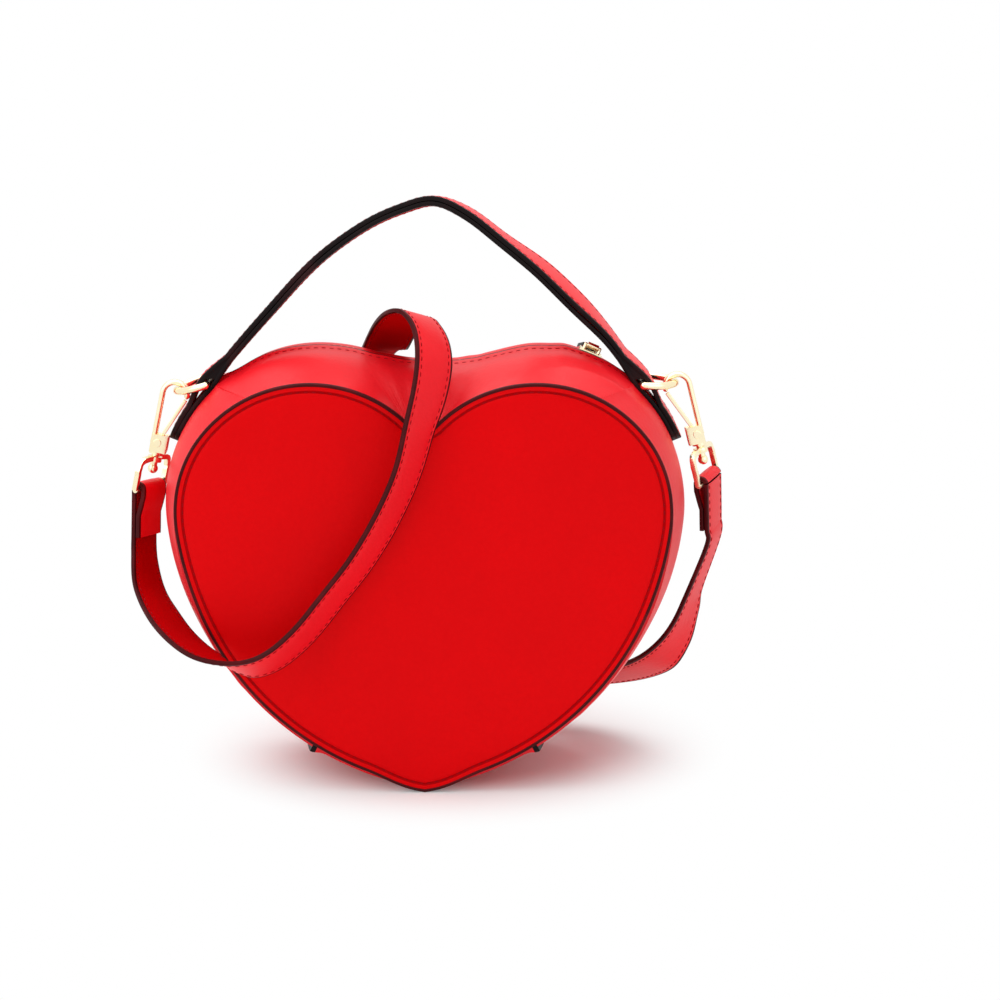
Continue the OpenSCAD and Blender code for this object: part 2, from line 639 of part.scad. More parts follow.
// The strap's eye: a collar that turns on the hook's post and a wire loop for the strap
strap_side = unit([0.38, 0.925, 0]);
strap_out = [strap_side[1], -strap_side[0], 0];
collar_gap = 1.2;
collar_top = barrel_low + flange_t + collar_gap;
collar_h = 2.2;
collar_r = 2.9;
eye_drop = 19.5;
shoulder_w = 9;
shoulder_drop = 3.4;
// The loop stands in the plane of the strap's width, so the mirrored right hook turns it back
function eye_turn(side) = atan2(strap_side[1], -side * strap_side[0]);
eye_sheet_share = 0.9;
module strap_eye(side) {
    top = -collar_top - collar_h / 2;
    half = [[eye_half_w, -eye_drop], [eye_half_w, mix(-eye_drop, top, 0.5)],
        [eye_half_w, top - shoulder_drop], [shoulder_w, top]];
    loop = smooth(concat([for (p = half) mirrored(p)], reversed(half)), 4);
    color(brass_gold) on_hook(side) difference() {
        union() {
            translate([0, 0, -collar_top - collar_h]) cylinder(r = collar_r, h = collar_h);
            rotate([0, 0, eye_turn(side)]) {
                plate(-eye_wire_r * eye_sheet_share, eye_wire_r * eye_sheet_share)
                    polygon(band(loop, eye_wire_r));
                translate([-eye_half_w, 0, -eye_drop]) rotate([0, 90, 0])
                    cylinder(r = eye_wire_r, h = 2 * eye_half_w);
            }
        }
        translate([0, 0, -collar_top - collar_h - cut])
            cylinder(r = post_r + turn_fit, h = collar_h + 2 * cut);
    }
}

// Shoulder strap. The route is that of its front edge, from the left eye down and up the
// front, through the handle and down the back to the right eye, as shares of the bag's
// width, depth and height. The width runs from the edge towards the rear.
fold_in_r = eye_wire_r + layer_gap;
fold_mid_r = fold_in_r + strap_t / 2;
bag_size = [2 * (panel_lobe_x + panel_lobe_r), bag_depth,
    panel_lobe_z + panel_lobe_r];
function eye_bar(side) =
    let (p = hook_pin(side), a = lean(side))
    [-side * (p[0] - eye_drop * sin(a)), 0, p[1] - eye_drop * cos(a)];
// A leaning hook tips its eye's bar, and the strap's width and fall follow the bar
function bar_tip(side) = side * asin(strap_side[0] * sin(lean(side)));
function bar_along(side) = unit(strap_side * cos(bar_tip(side)) + [0, 0, sin(bar_tip(side))]);
function bar_fall(side) = strap_side * sin(bar_tip(side)) - [0, 0, cos(bar_tip(side))];
function strap_end(side) =
    eye_bar(side) - bar_along(side) * strap_w / 2 + strap_out * side * fold_mid_r;
route_shares = [[-0.598, -0.20, 0.48], [-0.562, -0.410, 0.427], [-0.513, -0.615, 0.393],
    [-0.459, -0.765, 0.371], [-0.406, -0.815, 0.362], [-0.355, -0.805, 0.363],
    [-0.308, -0.770, 0.383], [-0.255, -0.74, 0.437], [-0.202, -0.73, 0.516],
    [-0.149, -0.728, 0.598], [-0.100, -0.728, 0.696], [-0.056, -0.728, 0.813],
    [-0.033, -0.728, 0.93], [-0.018, -0.68, 1.02], [-0.014, -0.60, 1.10],
    [-0.024, -0.475, 1.155], [-0.053, -0.30, 1.178], [-0.087, -0.09, 1.155],
    [-0.120, 0.15, 1.11], [-0.1425, 0.33, 1.078], [-0.160, 0.49, 1.037],
    [-0.1675, 0.585, 0.965], [-0.170, 0.60, 0.87], [-0.165, 0.585, 0.737],
    [-0.140, 0.58, 0.587], [-0.080, 0.58, 0.45], [0.010, 0.58, 0.34],
    [0.110, 0.58, 0.26], [0.205, 0.59, 0.20], [0.290, 0.56, 0.163],
    [0.360, 0.465, 0.178], [0.410, 0.32, 0.21], [0.450, 0.155, 0.255],
    [0.485, 0.055, 0.305], [0.512, -0.01, 0.36], [0.535, -0.06, 0.43]];
function straight_end(side, drop) = strap_end(side) + bar_fall(side) * drop;
end_shares = [0, 0.5, 1, 1.3];
route_steps = 3;
strap_route = smooth(concat(
    [for (q = end_shares) straight_end(-1, q * fold_l)],
    [for (q = route_shares) [q[0] * bag_size[0], q[1] * bag_size[1], q[2] * bag_size[2]]],
    [for (q = reversed(end_shares)) straight_end(1, q * fold_l)]), route_steps);
// The width keeps square to the route and turns as little as it can from one direction
strap_lean = [0.55, 0.835, -0.25];
straight_rings = route_steps * (len(end_shares) - 1);
turn_rings = 12;
function turned(i) = max(0, min(1, (i - straight_rings) / turn_rings));
function lean_at(i, last) =
    i < last / 2 ? mix(bar_along(-1), strap_lean, turned(i))
    : mix(bar_along(1), strap_lean, turned(last - i));
function width_at(t, lean) = unit(lean - t * (lean * t)) * strap_w;
module strap_layer(low, high) {
    last = len(strap_route) - 1;
    rings = [for (i = [0:last])
        let (t = along(strap_route, i), w = width_at(t, lean_at(i, last)), n = unit(cross(t, w)), p = strap_route[i])
        [p + n * low, p + w + n * low, p + w + n * high, p + n * high]];
    sides = [for (i = [0:last - 1]) for (k = [0:3]) each
        let (a = i * 4 + k, b = i * 4 + (k + 1) % 4, c = b + 4, d = a + 4)
        k < 2 ? [[a, c, b], [a, d, c]] : [[a, d, b], [b, d, c]]];
    end = last * 4;
    caps = [[0, 1, 2], [0, 2, 3], [end, end + 2, end + 1], [end, end + 3, end + 2]];
    polyhedron([for (ring = rings) each ring], concat(sides, caps));
}
module strap_outer_layer() { color(leather_lit) strap_layer(layer_gap / 2, strap_t / 2); }
module strap_inner_layer() { color(leather_lit) strap_layer(-strap_t / 2, -layer_gap / 2); }

// The strap's end goes over the eye's bar and down beside the strap, where it is sewn
fold_slope_shares = [[0.95, 0.15], [0.5, 0.35]];
fold_start_angle = 12;
function fold_line() =
    let (flat = fold_mid_r - strap_t - layer_gap)
    concat([for (t = steps(10)) on_arc([0, 0], fold_mid_r, mix(fold_start_angle, 180, t))],
    [for (q = fold_slope_shares) [-mix(-flat, fold_mid_r, q[0]), -fold_l * q[1]]],
    [[flat, -fold_l * 0.55], [flat, -fold_l]]);
module strap_fold(side) {
    bar = eye_bar(side);
    color(leather_lit) translate(bar)
        rotate([bar_tip(side), 0, atan2(strap_out[1], strap_out[0])])
        sided(-side) translate([0, strap_w / 2, 0]) rotate([90, 0, 0]) linear_extrude(strap_w)
            polygon(band(fold_line(), strap_t / 2));
}

module front_panel() { panel(-1); }
module front_edge() { painted_edge(-1); }
module front_board() { board(-1); }
module front_seam_tape() { seam_tape(-1); }
module front_lining() { lining_sheet(-1); }
module rear_panel() { panel(1); }
module rear_edge() { painted_edge(1); }
module rear_board() { board(1); }
module rear_seam_tape() { seam_tape(1); }
module rear_lining() { lining_sheet(1); }

front_panel();
front_edge();
front_board();
front_seam_tape();
front_lining();
rear_panel();
rear_edge();
rear_board();
rear_seam_tape();
rear_lining();
slip_pocket();
zip_strip(-1);  // zip_strip_front
zip_strip(1);  // zip_strip_rear
side_gusset(-1);  // side_gusset_left
side_gusset(1);  // side_gusset_right
base_gusset();
gusset_lining();
strip_lining(-1);  // strip_lining_front
strip_lining(1);  // strip_lining_rear
zip_tape(-1);  // zip_tape_front
zip_tape(1);  // zip_tape_rear
zip_teeth(-1, 0);  // zip_teeth_front
zip_teeth(1, 0.5);  // zip_teeth_rear
zip_stops();
zip_slider();
zip_pull_link();
zip_pull_tab();
tab_layer(inner_path, -1);  // tab_base_left
tab_layer(inner_path, 1);  // tab_base_right
tab_layer(outer_path, -1);  // tab_flap_left
tab_layer(outer_path, 1);  // tab_flap_right
handle_layer(outer_path);  // handle_outer
handle_layer(inner_path);  // handle_inner
ring(-1);  // ring_left
ring(1);  // ring_right
hook_body(-1);  // hook_body_left
hook_body(1);  // hook_body_right
hook_pin_piece(-1);  // hook_pin_left
hook_pin_piece(1);  // hook_pin_right
hook_spring(-1);  // hook_spring_left
hook_spring(1);  // hook_spring_right
gate(-1);  // gate_left
gate(1);  // gate_right
strap_eye(-1);  // strap_eye_left
strap_eye(1);  // strap_eye_right
strap_outer_layer();
strap_inner_layer();
strap_fold(-1);  // strap_fold_left
strap_fold(1);  // strap_fold_right
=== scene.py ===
from bisect import bisect_left
from math import acos, asin, atan2, cos, degrees, exp, pi, radians, sin, sqrt

import bmesh
import bpy
from mathutils import Matrix, Vector, noise


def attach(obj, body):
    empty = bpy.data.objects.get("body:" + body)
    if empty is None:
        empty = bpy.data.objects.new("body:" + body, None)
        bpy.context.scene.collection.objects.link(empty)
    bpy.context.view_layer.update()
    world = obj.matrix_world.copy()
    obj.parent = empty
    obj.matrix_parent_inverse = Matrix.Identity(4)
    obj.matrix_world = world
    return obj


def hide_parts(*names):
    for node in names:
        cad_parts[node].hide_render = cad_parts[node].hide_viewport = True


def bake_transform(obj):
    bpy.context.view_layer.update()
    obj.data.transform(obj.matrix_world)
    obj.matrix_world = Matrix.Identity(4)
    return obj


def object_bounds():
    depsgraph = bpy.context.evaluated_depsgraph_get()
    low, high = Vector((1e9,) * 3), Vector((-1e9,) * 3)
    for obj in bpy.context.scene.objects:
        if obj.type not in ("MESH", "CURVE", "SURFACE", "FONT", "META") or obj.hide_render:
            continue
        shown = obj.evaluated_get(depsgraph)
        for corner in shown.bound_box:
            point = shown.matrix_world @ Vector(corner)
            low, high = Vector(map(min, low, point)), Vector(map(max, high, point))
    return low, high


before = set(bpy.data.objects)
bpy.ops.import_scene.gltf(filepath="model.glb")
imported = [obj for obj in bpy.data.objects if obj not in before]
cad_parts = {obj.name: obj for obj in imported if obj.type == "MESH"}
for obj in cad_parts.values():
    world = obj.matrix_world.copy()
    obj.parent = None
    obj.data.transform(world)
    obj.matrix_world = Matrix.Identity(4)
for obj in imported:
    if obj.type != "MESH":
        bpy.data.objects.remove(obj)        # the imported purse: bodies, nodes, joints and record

cad_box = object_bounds()
mm = 0.001


# Viewpoint
# A long lens stands a little over a metre in front of the purse, slightly to its right,
# and looks down at it by twelve degrees.
lens = bpy.data.cameras.new("front_camera")
lens.sensor_width = 36
lens.lens = 103.3
camera = bpy.data.objects.new("front_camera", lens)
camera.location = (0.0306, -1.160, 0.359)
camera.rotation_euler = (radians(78), 0, 0)
bpy.context.scene.collection.objects.link(camera)
bpy.context.scene.camera = camera
bpy.context.scene.view_settings.view_transform = "Standard"


# Floor and daylight
# A white tabletop that runs on into a white backdrop, under large soft lamps. The purse
# stands on the table on the point of its heart, and keeps its shadow there.
class Wire:
    """One output of a shader node. Sums on wires add Math nodes, node() adds any other."""

    def __init__(self, tree, socket=None):
        self.tree, self.socket = tree, socket

    def node(self, kind, settings=None, inputs=None, output=0):
        made = self.tree.nodes.new("ShaderNode" + kind)
        for name, value in (settings or {}).items():
            setattr(made, name, value)
        for name, value in (inputs or {}).items():
            if isinstance(value, Wire):
                self.tree.links.new(value.socket, made.inputs[name])
            else:
                made.inputs[name].default_value = value
        return Wire(self.tree, made.outputs[output])

    def maths(self, operation, *values):
        return self.node("Math", {"operation": operation}, dict(enumerate(values)))

    def place(self, kind="Object"):
        """Where on the piece a point lies."""
        return self.node("TexCoord", output=kind)

    def rays(self):
        """Whether a ray comes from the lens, from a gloss or through a clear piece."""
        return [self.node("LightPath", output="Is " + kind + " Ray")
                for kind in ("Camera", "Glossy", "Transmission")]

    def mix(self, share, first, second):
        """The first colour with a share of the second one."""
        return self.node("Mix", {"data_type": "RGBA"}, {0: share, 6: first, 7: second}, 2)

    def spots(self, scale, detail, **more):
        """Noise at this place."""
        return self.node("TexNoise", inputs={"Vector": self, "Scale": scale, "Detail": detail,
                                             **more})

    def bumps(self, height, depth, strength):
        return self.node("Bump", inputs={"Height": height, "Distance": depth, "Strength": strength})

    def __add__(self, other):
        return self.maths("ADD", self, other)

    def __sub__(self, other):
        return self.maths("SUBTRACT", self, other)

    def __rsub__(self, other):
        return self.maths("SUBTRACT", other, self)

    def __mul__(self, other):
        return self.maths("MULTIPLY", self, other)

    __radd__, __rmul__ = __add__, __mul__


def colour(red, green, blue):
    """A screen colour, 0 to 255 a channel, as the linear colour that nodes take."""
    part = lambda c: c / 12.92 if c <= 0.04045 else ((c + 0.055) / 1.055) ** 2.4
    return (*(part(c / 255) for c in (red, green, blue)), 1)


def finish(name, look):
    """A material. look gets a bare wire and says what goes into each socket of the shader."""
    made = bpy.data.materials.new(name)
    made.use_nodes = True
    shader = made.node_tree.nodes["Principled BSDF"]
    for socket, value in look(Wire(made.node_tree)).items():
        if isinstance(value, Wire):
            made.node_tree.links.new(value.socket, shader.inputs[socket])
        else:
            shader.inputs[socket].default_value = value
    return made


table_white, table_dull = (0.9, 0.9, 0.9, 1), 0.75
table_reach, fade_from, fade_to = 14, 0.05, 0.12    # the shadow fades between the last two
fade_middle = (0.012, 0.03, 0)
table_top = cad_box[0].z - 0.1 * mm
table = bpy.data.materials.new("white_table")
table.use_nodes = True
wire = Wire(table.node_tree)
surface = table.node_tree.nodes["Principled BSDF"]
surface.inputs["Base Color"].default_value = table_white
surface.inputs["Roughness"].default_value = table_dull
reach = wire.node("VectorMath", {"operation": "DISTANCE"}, {0: wire.place(), 1: fade_middle},
                  "Value")
seen, glossy, through = wire.rays()
far = wire.node("MapRange", {"interpolation_type": "SMOOTHSTEP"},
                {"Value": reach, 1: fade_from, 2: fade_to})
white = wire.node("Emission", inputs={"Color": (1, 1, 1, 1), "Strength": 1})
showing = far * wire.maths("MAXIMUM", seen + glossy, through)
plain = Wire(table.node_tree, surface.outputs[0])
blended = wire.node("MixShader", inputs={0: showing, 1: plain, 2: white})
table.node_tree.links.new(blended.socket, table.node_tree.nodes["Material Output"].inputs[0])
floor = bmesh.new()
bmesh.ops.create_grid(floor, x_segments=1, y_segments=1, size=table_reach,
                      matrix=Matrix.Translation((0, 0, table_top)))
floor_mesh = bpy.data.meshes.new("white_table")
floor.to_mesh(floor_mesh)
floor.free()
floor_mesh.materials.append(table)
tabletop = bpy.data.objects.new("white_table", floor_mesh)
bpy.context.scene.collection.objects.link(tabletop)

sky = bpy.data.worlds.new("white_room")
bpy.context.scene.world = sky
sky.use_nodes = True
wire = Wire(sky.node_tree)
room_light = 0.4
seen, glossy, through = wire.rays()
seen = wire.maths("MINIMUM", seen + glossy + through, 1)
sky.node_tree.links.new((seen * (1 - room_light) + room_light).socket,
                        sky.node_tree.nodes["Background"].inputs["Strength"])
sky.node_tree.nodes["Background"].inputs["Color"].default_value = (1, 1, 1, 1)
lamp_aim = Vector((0, 0, 0.12))

for name, spot, size, watts in (
        ("lamp_over", (-0.15, 0.15, 1.5), 1.8, 22),
        ("lamp_left", (-1.2, -1.3, 1.0), 1.6, 10.5),
        ("lamp_right", (1.2, -1.3, 0.9), 1.6, 6)):
    lamp = bpy.data.lights.new(name, "AREA")
    lamp.shape, lamp.size, lamp.energy = "SQUARE", size, watts
    stand = bpy.data.objects.new(name, lamp)
    stand.location = spot
    stand.rotation_euler = (lamp_aim - Vector(spot)).to_track_quat("-Z", "Y").to_euler()
    bpy.context.scene.collection.objects.link(stand)


# Front and rear panels
# Two hearts of red grained leather on board, slightly padded, each with its cut edge
# painted dark brown and a row of stitches in a pressed groove just inside the edge.
bag_depth = 80 * mm


def mixed(a, b, t):
    """The value a share t of the way from a to b."""
    return a + (b - a) * t


def on_arc(centre, radius, angle):
    """The point of a circle at an angle in degrees."""
    turn = radians(angle)
    return Vector((centre[0] + radius * cos(turn), centre[1] + radius * sin(turn)))


def lengths(points):
    """How far along a line each of its points lies."""
    run = [0]
    for a, b in zip(points, points[1:]):
        run.append(run[-1] + (b - a).length)
    return run


def stretch(run, want):
    """The stretch of a line in which a distance lies, and the share of it that is passed."""
    k = max(0, min(bisect_left(run, want) - 1, len(run) - 2))
    return k, (want - run[k]) / max(run[k + 1] - run[k], 1e-9)


class Heart:
    """A heart outline of a notch arc, a lobe arc and a flank arc, in X and Z."""

    def __init__(self, lobe, lobe_r, flank_r, notch_z):
        self.lobe, self.lobe_r, self.flank_r = Vector(lobe), lobe_r, flank_r
        reach = self.lobe.length
        a = (flank_r ** 2 - (flank_r - lobe_r) ** 2 + reach ** 2) / (2 * reach)
        side = self.lobe.orthogonal()
        self.flank = (self.lobe * a + side * sqrt(flank_r ** 2 - a ** 2)) / reach
        rise = notch_z - self.lobe.y
        self.notch_r = (self.lobe.x ** 2 + rise ** 2 - lobe_r ** 2) / (2 * (lobe_r - rise))
        self.notch = Vector((0, notch_z + self.notch_r))
        self.lobe_first = degrees(atan2(self.lobe.y - self.notch.y, self.lobe.x)) + 180
        self.lobe_last = degrees(atan2(self.lobe.y - self.flank.y, self.lobe.x - self.flank.x))

    def flank_last(self, grow):
        """The angle at which the flank's arc reaches the tip."""
        return -degrees(acos(-self.flank.x / (self.flank_r + grow)))

    def at(self, s, grow):
        """The outline's point at place s, 0 in the notch and 3 or -3 at the tip."""
        t = abs(s)
        if t <= 1:
            p = on_arc(self.notch, self.notch_r - grow, mixed(-90, self.lobe_first - 180, t))
        elif t <= 2:
            p = on_arc(self.lobe, self.lobe_r + grow, mixed(self.lobe_first, self.lobe_last, t - 1))
        else:
            angle = mixed(self.lobe_last, self.flank_last(grow), t - 2)
            p = on_arc(self.flank, self.flank_r + grow, angle)
        return Vector((-p.x, p.y)) if s < 0 else p

    def place(self, angle):
        """The place of an angle on the right lobe."""
        return 1 + (self.lobe_first - angle) / (self.lobe_first - self.lobe_last)

    def even(self, count, grow=0):
        """Places from tip to tip, the same distance apart along the outline."""
        fine = [mixed(-3, 3, i / 2400) for i in range(2401)]
        run = lengths([self.at(s, grow) for s in fine])
        places = []
        for i in range(count + 1):
            k, t = stretch(run, run[-1] * i / count)
            places.append(mixed(fine[k], fine[k + 1], t))
        return places, run[-1]


panel_heart = Heart((45 * mm, 112 * mm), 55 * mm, 120 * mm, 148 * mm)


def draped(columns, rows, place, finish_at=None, cloth=None):
    """A sheet drawn over a form. place(across, down) says where each of its points lies."""
    sheet = bmesh.new()
    pattern = sheet.loops.layers.uv.new("pattern") if cloth else None
    bmesh.ops.create_grid(sheet, x_segments=columns, y_segments=rows, size=1)
    where = {v: (round((v.co.x + 1) / 2 * columns), round((v.co.y + 1) / 2 * rows))
             for v in sheet.verts}
    for face in sheet.faces:
        across = min(where[v][0] for v in face.verts)
        down = min(where[v][1] for v in face.verts)
        if finish_at:
            face.material_index = finish_at(across, down)
        if cloth:
            for loop in face.loops:
                i, j = where[loop.vert]
                loop[pattern].uv = (i / columns * cloth[0], j / rows * cloth[1])
    for v, (i, j) in where.items():
        v.co = place(i, j)
    bmesh.ops.remove_doubles(sheet, verts=sheet.verts, dist=1e-6)
    bmesh.ops.dissolve_degenerate(sheet, edges=sheet.edges, dist=1e-7)
    open_edges = [e for e in sheet.edges if e.is_boundary]
    if open_edges:
        bmesh.ops.holes_fill(sheet, edges=open_edges, sides=0)
    bmesh.ops.recalc_face_normals(sheet, faces=sheet.faces)
    return sheet


def piece(name, form, body, slot, finishes, replaces=(), crease=50):
    """Makes a finished piece of a form, smooth but for its creases, that rides on a body."""
    for face in form.faces:
        face.smooth = True
    for edge in form.edges:
        edge.smooth = edge.calc_face_angle(0) < radians(crease)
    mesh = bpy.data.meshes.new(name)
    form.to_mesh(mesh)
    form.free()
    for look in finishes:
        mesh.materials.append(look)
    made = bpy.data.objects.new(name, mesh)
    bpy.context.scene.collection.objects.link(made)
    if body:
        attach(made, body)
    if replaces:
        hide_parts(*replaces)
    return made


def squared(turn, power):
    """A point at an angle of a circle whose sides are a little flattened."""
    return [abs(q) ** power * (1 if q > 0 else -1) for q in (cos(turn), sin(turn))]


stitch_pitch, stitch_length, thread_r = 3.2 * mm, 2.1 * mm, 0.24 * mm


def stitches(path):
    """A row of stitches along a path of (point, direction out of the leather)."""
    row = bmesh.new()
    run = lengths([point for point, _ in path])
    count = max(1, int(run[-1] / stitch_pitch))
    for i in range(count):
        k, t = stretch(run, run[-1] * (i + 0.5) / count)
        point = path[k][0].lerp(path[k + 1][0], t)
        forward = (path[k + 1][0] - path[k][0]).normalized()
        up = path[k][1].lerp(path[k + 1][1], t)
        up = (up - forward * up.dot(forward)).normalized()
        turn = Matrix((forward, up.cross(forward), up)).transposed().to_4x4()
        scale = Matrix.Diagonal((stitch_length / 2, thread_r, thread_r, 1))
        bmesh.ops.create_uvsphere(row, u_segments=6, v_segments=4, radius=1,
                                  matrix=Matrix.Translation(point) @ turn @ scale)
    return row


def joined(*forms):
    """Several forms as one."""
    whole = bmesh.new()
    for form in forms:
        part = bpy.data.meshes.new("part")
        form.to_mesh(part)
        form.free()
        whole.from_mesh(part)
        bpy.data.meshes.remove(part)
    return whole


def grained(red, pebble=620, depth=0.00011, dull=0.46, cloud=0.1, sheen=0.35):
    """Coated leather with a fine pebble grain: its colour, gloss and bumps."""
    def look(wire):
        place = wire.place()
        drift = place.spots(22, 3, Roughness=0.55)
        fine = place.spots(2100, 3)
        bent = wire.node("TexNoise", inputs={"Vector": place, "Scale": 260, "Detail": 2},
                         output="Color")
        pushed = wire.node("VectorMath", {"operation": "MULTIPLY_ADD"},
                           {0: bent, 1: (0.0016, 0.0016, 0.0016), 2: place})
        cells = wire.node("TexVoronoi", {"feature": "SMOOTH_F1"},
                          {"Vector": pushed, "Scale": pebble, "Smoothness": 0.35})
        height = (1 - cells) * 0.7 + fine * 0.3
        dark = tuple(c * 0.86 for c in red[:3]) + (1,)
        light = tuple(min(1, c * 1.05) for c in red[:3]) + (1,)
        base = wire.mix(drift, dark, light)
        base = wire.mix(wire.maths("MINIMUM", cells * 1.2, 1) * 0.35, base, dark)
        return {"Base Color": base,
                "Roughness": dull + cloud * (drift - 0.5) + 0.06 * (fine - 0.5),
                "Specular IOR Level": sheen,
                "Normal": wire.bumps(height, depth, 0.6)}
    return look


panel_leather = finish("panel_leather", grained(colour(228, 1, 7), dull=0.52, sheen=0.06))
# A darker copy of the panel leather for the stitch groove's faces: painted shade in the groove.
groove_shade_leather = finish("panel_leather_painted_groove_shade",
                         grained(colour(180, 0, 5), dull=0.6, sheen=0.04))
# Lighter and pinker than the panels' red: partly the leather's own tone, partly painted sheen from
# the lamp over it.
gusset_leather = finish("gusset_leather", grained(colour(246, 20, 34), dull=0.42, sheen=0.28))
strap_leather = finish("strap_leather",
                       grained(colour(250, 13, 30), pebble=700, dull=0.44, sheen=0.3))
# The same red leather made darker for the backs of the strap and handle: painted shade on their
# undersides.
strap_back_painted_shade = finish("strap_back_leather_painted_shade",
                    grained(colour(190, 0, 5), pebble=700, dull=0.8, sheen=0.02))


def painted(coat, rubbed):
    """Thick edge paint with brush marks and rubbed spots."""
    def look(wire):
        place = wire.place()
        marks = place.spots(420, 3)
        rubs = place.spots(60, 2)
        worn = wire.node("MapRange", inputs={"Value": rubs, 1: 0.52, 2: 0.72})
        base = wire.mix(worn, coat, rubbed)
        return {"Base Color": base, "Roughness": 0.42 + 0.16 * marks, "Specular IOR Level": 0.12,
                "Normal": wire.bumps(marks, 0.00012, 0.5)}
    return look


edge_paint = finish("edge_paint", painted(colour(16, 8, 9), colour(44, 18, 20)))
brown_paint = finish("brown_edge_paint", painted(colour(66, 5, 9), colour(94, 12, 17)))


def spun(wire):
    """Waxed red sewing thread, its tone varying at random along the ply."""
    place = wire.place()
    ply = place.spots(2600, 2)
    base = wire.mix(ply, colour(130, 2, 10), colour(180, 9, 20))
    return {"Base Color": base, "Roughness": 0.55 + 0.2 * (ply - 0.5), "Specular IOR Level": 0.1,
            "Normal": wire.bumps(ply, 0.0001, 0.6)}


thread = finish("sewing_thread", spun)

panel_centre = Vector((0, 78 * mm))
# Distance in from the rim, height over the face and share of the way out from the centre
panel_rows = [(q[0] * mm, q[1] * mm, q[2]) for q in (
    (50, -2, 0), (50, -2, 1), (24, -2, 1), (0.3, -2, 1), (0, -1.8, 1), (0, -0.25, 1),
    (0.1, -0.08, 1), (0.35, 0, 1), (1.2, 0.05, 1), (1.8, 0, 1), (2.15, -0.24, 1),
    (2.55, -0.5, 1), (2.95, -0.24, 1), (3.3, 0.06, 1), (4.2, 0.24, 1), (6, 0.46, 1),
    (9, 0.66, 1), (13, 0.82, 1), (18, 0.93, 1), (24, 1.1, 1), (31, 1.24, 1), (38, 1.35, 1),
    (44, 1.42, 1), (50, 1.46, 1), (50, 1.49, 0.8), (50, 1.5, 0.6), (50, 1.5, 0.4),
    (50, 1.5, 0.2), (50, 1.5, 0))]
stitch_in, stitch_sunk, groove_shade_rows = 2.55 * mm, 0.34 * mm, (9, 10, 11)
wave_height, wave_from, wave_over = 0.3 * mm, 3 * mm, 9 * mm
# The painted rim: how far its middle lies out and under the face, and its two half widths
rim_out, rim_under, rim_half_w, rim_half_d = (q * mm for q in (0.3, 1.1, 0.78, 1.36))
panel_columns, rim_sides = 300, 14


def eased(t):
    """A share from 0 to 1 that starts and ends softly."""
    t = min(1, max(0, t))
    return t * t * (3 - 2 * t)


def drawn_in(s):
    """How far the panels' rim lies inside the gusset's, along the lower flanks."""
    most, begins, over, ends, within = 2.3 * mm, 1.7, 0.5, 2.98, 0.14
    return most * eased((abs(s) - begins) / over) * eased((ends - abs(s)) / within)


for side, name in ((-1, "front"), (1, "rear")):
    places, _ = panel_heart.even(panel_columns)

    def panel_point(i, j):
        inset, height, share = panel_rows[j]
        rim_point = panel_heart.at(places[i], -inset - drawn_in(places[i]))
        p = panel_centre + (rim_point - panel_centre) * share
        if height > 0.1 * mm:
            wave = noise.noise(Vector((p.x * 26, p.y * 34, side * 3))) * wave_height
            height += wave * min(1, (inset - wave_from) / wave_over)
        return Vector((p.x, side * (bag_depth / 2 + height), p.y))

    # The groove's rows get the darker red of painted shade.
    panel = draped(panel_columns, len(panel_rows) - 1, panel_point,
                   lambda across, down: int(down in groove_shade_rows))
    piece(name + "_panel_leather", panel, "root", "leather_panel", [panel_leather, groove_shade_leather],
          [name + "_panel"], crease=70)

    def edge_point(i, j):
        turn = 2 * pi * j / rim_sides
        across, deep = squared(turn, 0.7)
        p = panel_heart.at(places[i], rim_out + rim_half_w * across - drawn_in(places[i]))
        return Vector((p.x, side * (bag_depth / 2 - rim_under + rim_half_d * deep), p.y))

    rim = draped(panel_columns, rim_sides, edge_point)
    piece(name + "_painted_edge", rim, "root", "edge_paint", [brown_paint], [name + "_edge"],
          crease=80)

    sewn_places, _ = panel_heart.even(600, -stitch_in)
    sewing = [(Vector((p.x, side * (bag_depth / 2 - stitch_sunk), p.y)), Vector((0, side, 0)))
              for p in (panel_heart.at(s, -stitch_in - drawn_in(s)) for s in sewn_places)]
    piece(name + "_panel_stitches", stitches(sewing), "root", "leather_panel", [thread])


# Gusset
# The wall between the panels: two strips beside the zip, two sides and a base piece, all
# of softer red leather that bulges a little and puckers where it is sewn to the panels.
crest_heart = Heart((42 * mm, 114 * mm), 64 * mm, 120 * mm, 172.3 * mm)
panel_back, crest_band, gusset_t = 38 * mm, 11 * mm, 1.6 * mm
strip_end = crest_heart.place(49)
base_end_x, zip_slot, turned_under, edge_round = (q * mm for q in (48.5, 3.5, 2.5, 0.4))
base_end_angle = -degrees(acos((base_end_x - crest_heart.flank.x) / crest_heart.flank_r))
base_end = 2 + (crest_heart.lobe_last - base_end_angle) \
    / (crest_heart.lobe_last - crest_heart.flank_last(0))


def bulge(y):
    """How far out the gusset stands at a depth, 0 at the panels and 1 in its middle band."""
    if abs(y) <= crest_band:
        return 1
    return sin(pi / 2 * (panel_back - abs(y)) / (panel_back - crest_band))


# How far the leather along the zip has settled at places along X
slack_stops = [(x * mm, drop * mm) for x, drop in (
    (-86, 0), (-76, 1.9), (-66, 1.5), (-30, 1.6), (-12, 2), (4, 2.6), (18, 3.2), (28, 3.6),
    (35, 3.1), (43, 2), (51, 1.2), (58, 0))]


def from_stops(stops, x):
    """A value on a smooth line through a list of (x, value), level beyond both its ends."""
    if not stops[0][0] < x < stops[-1][0]:
        return stops[0][1] if x <= stops[0][0] else stops[-1][1]
    k = sum(x > place for place, _ in stops) - 1
    (a, low), (b, high) = stops[k], stops[k + 1]
    slopes = [(stops[i + 1][1] - stops[i - 1][1]) / (stops[i + 1][0] - stops[i - 1][0])
              if 0 < i < len(stops) - 1 else 0 for i in (k, k + 1)]
    t = (x - a) / (b - a)
    swing = slopes[0] * (1 - t) - slopes[1] * t
    return mixed(low, high, eased(t)) + (b - a) * t * (1 - t) * swing


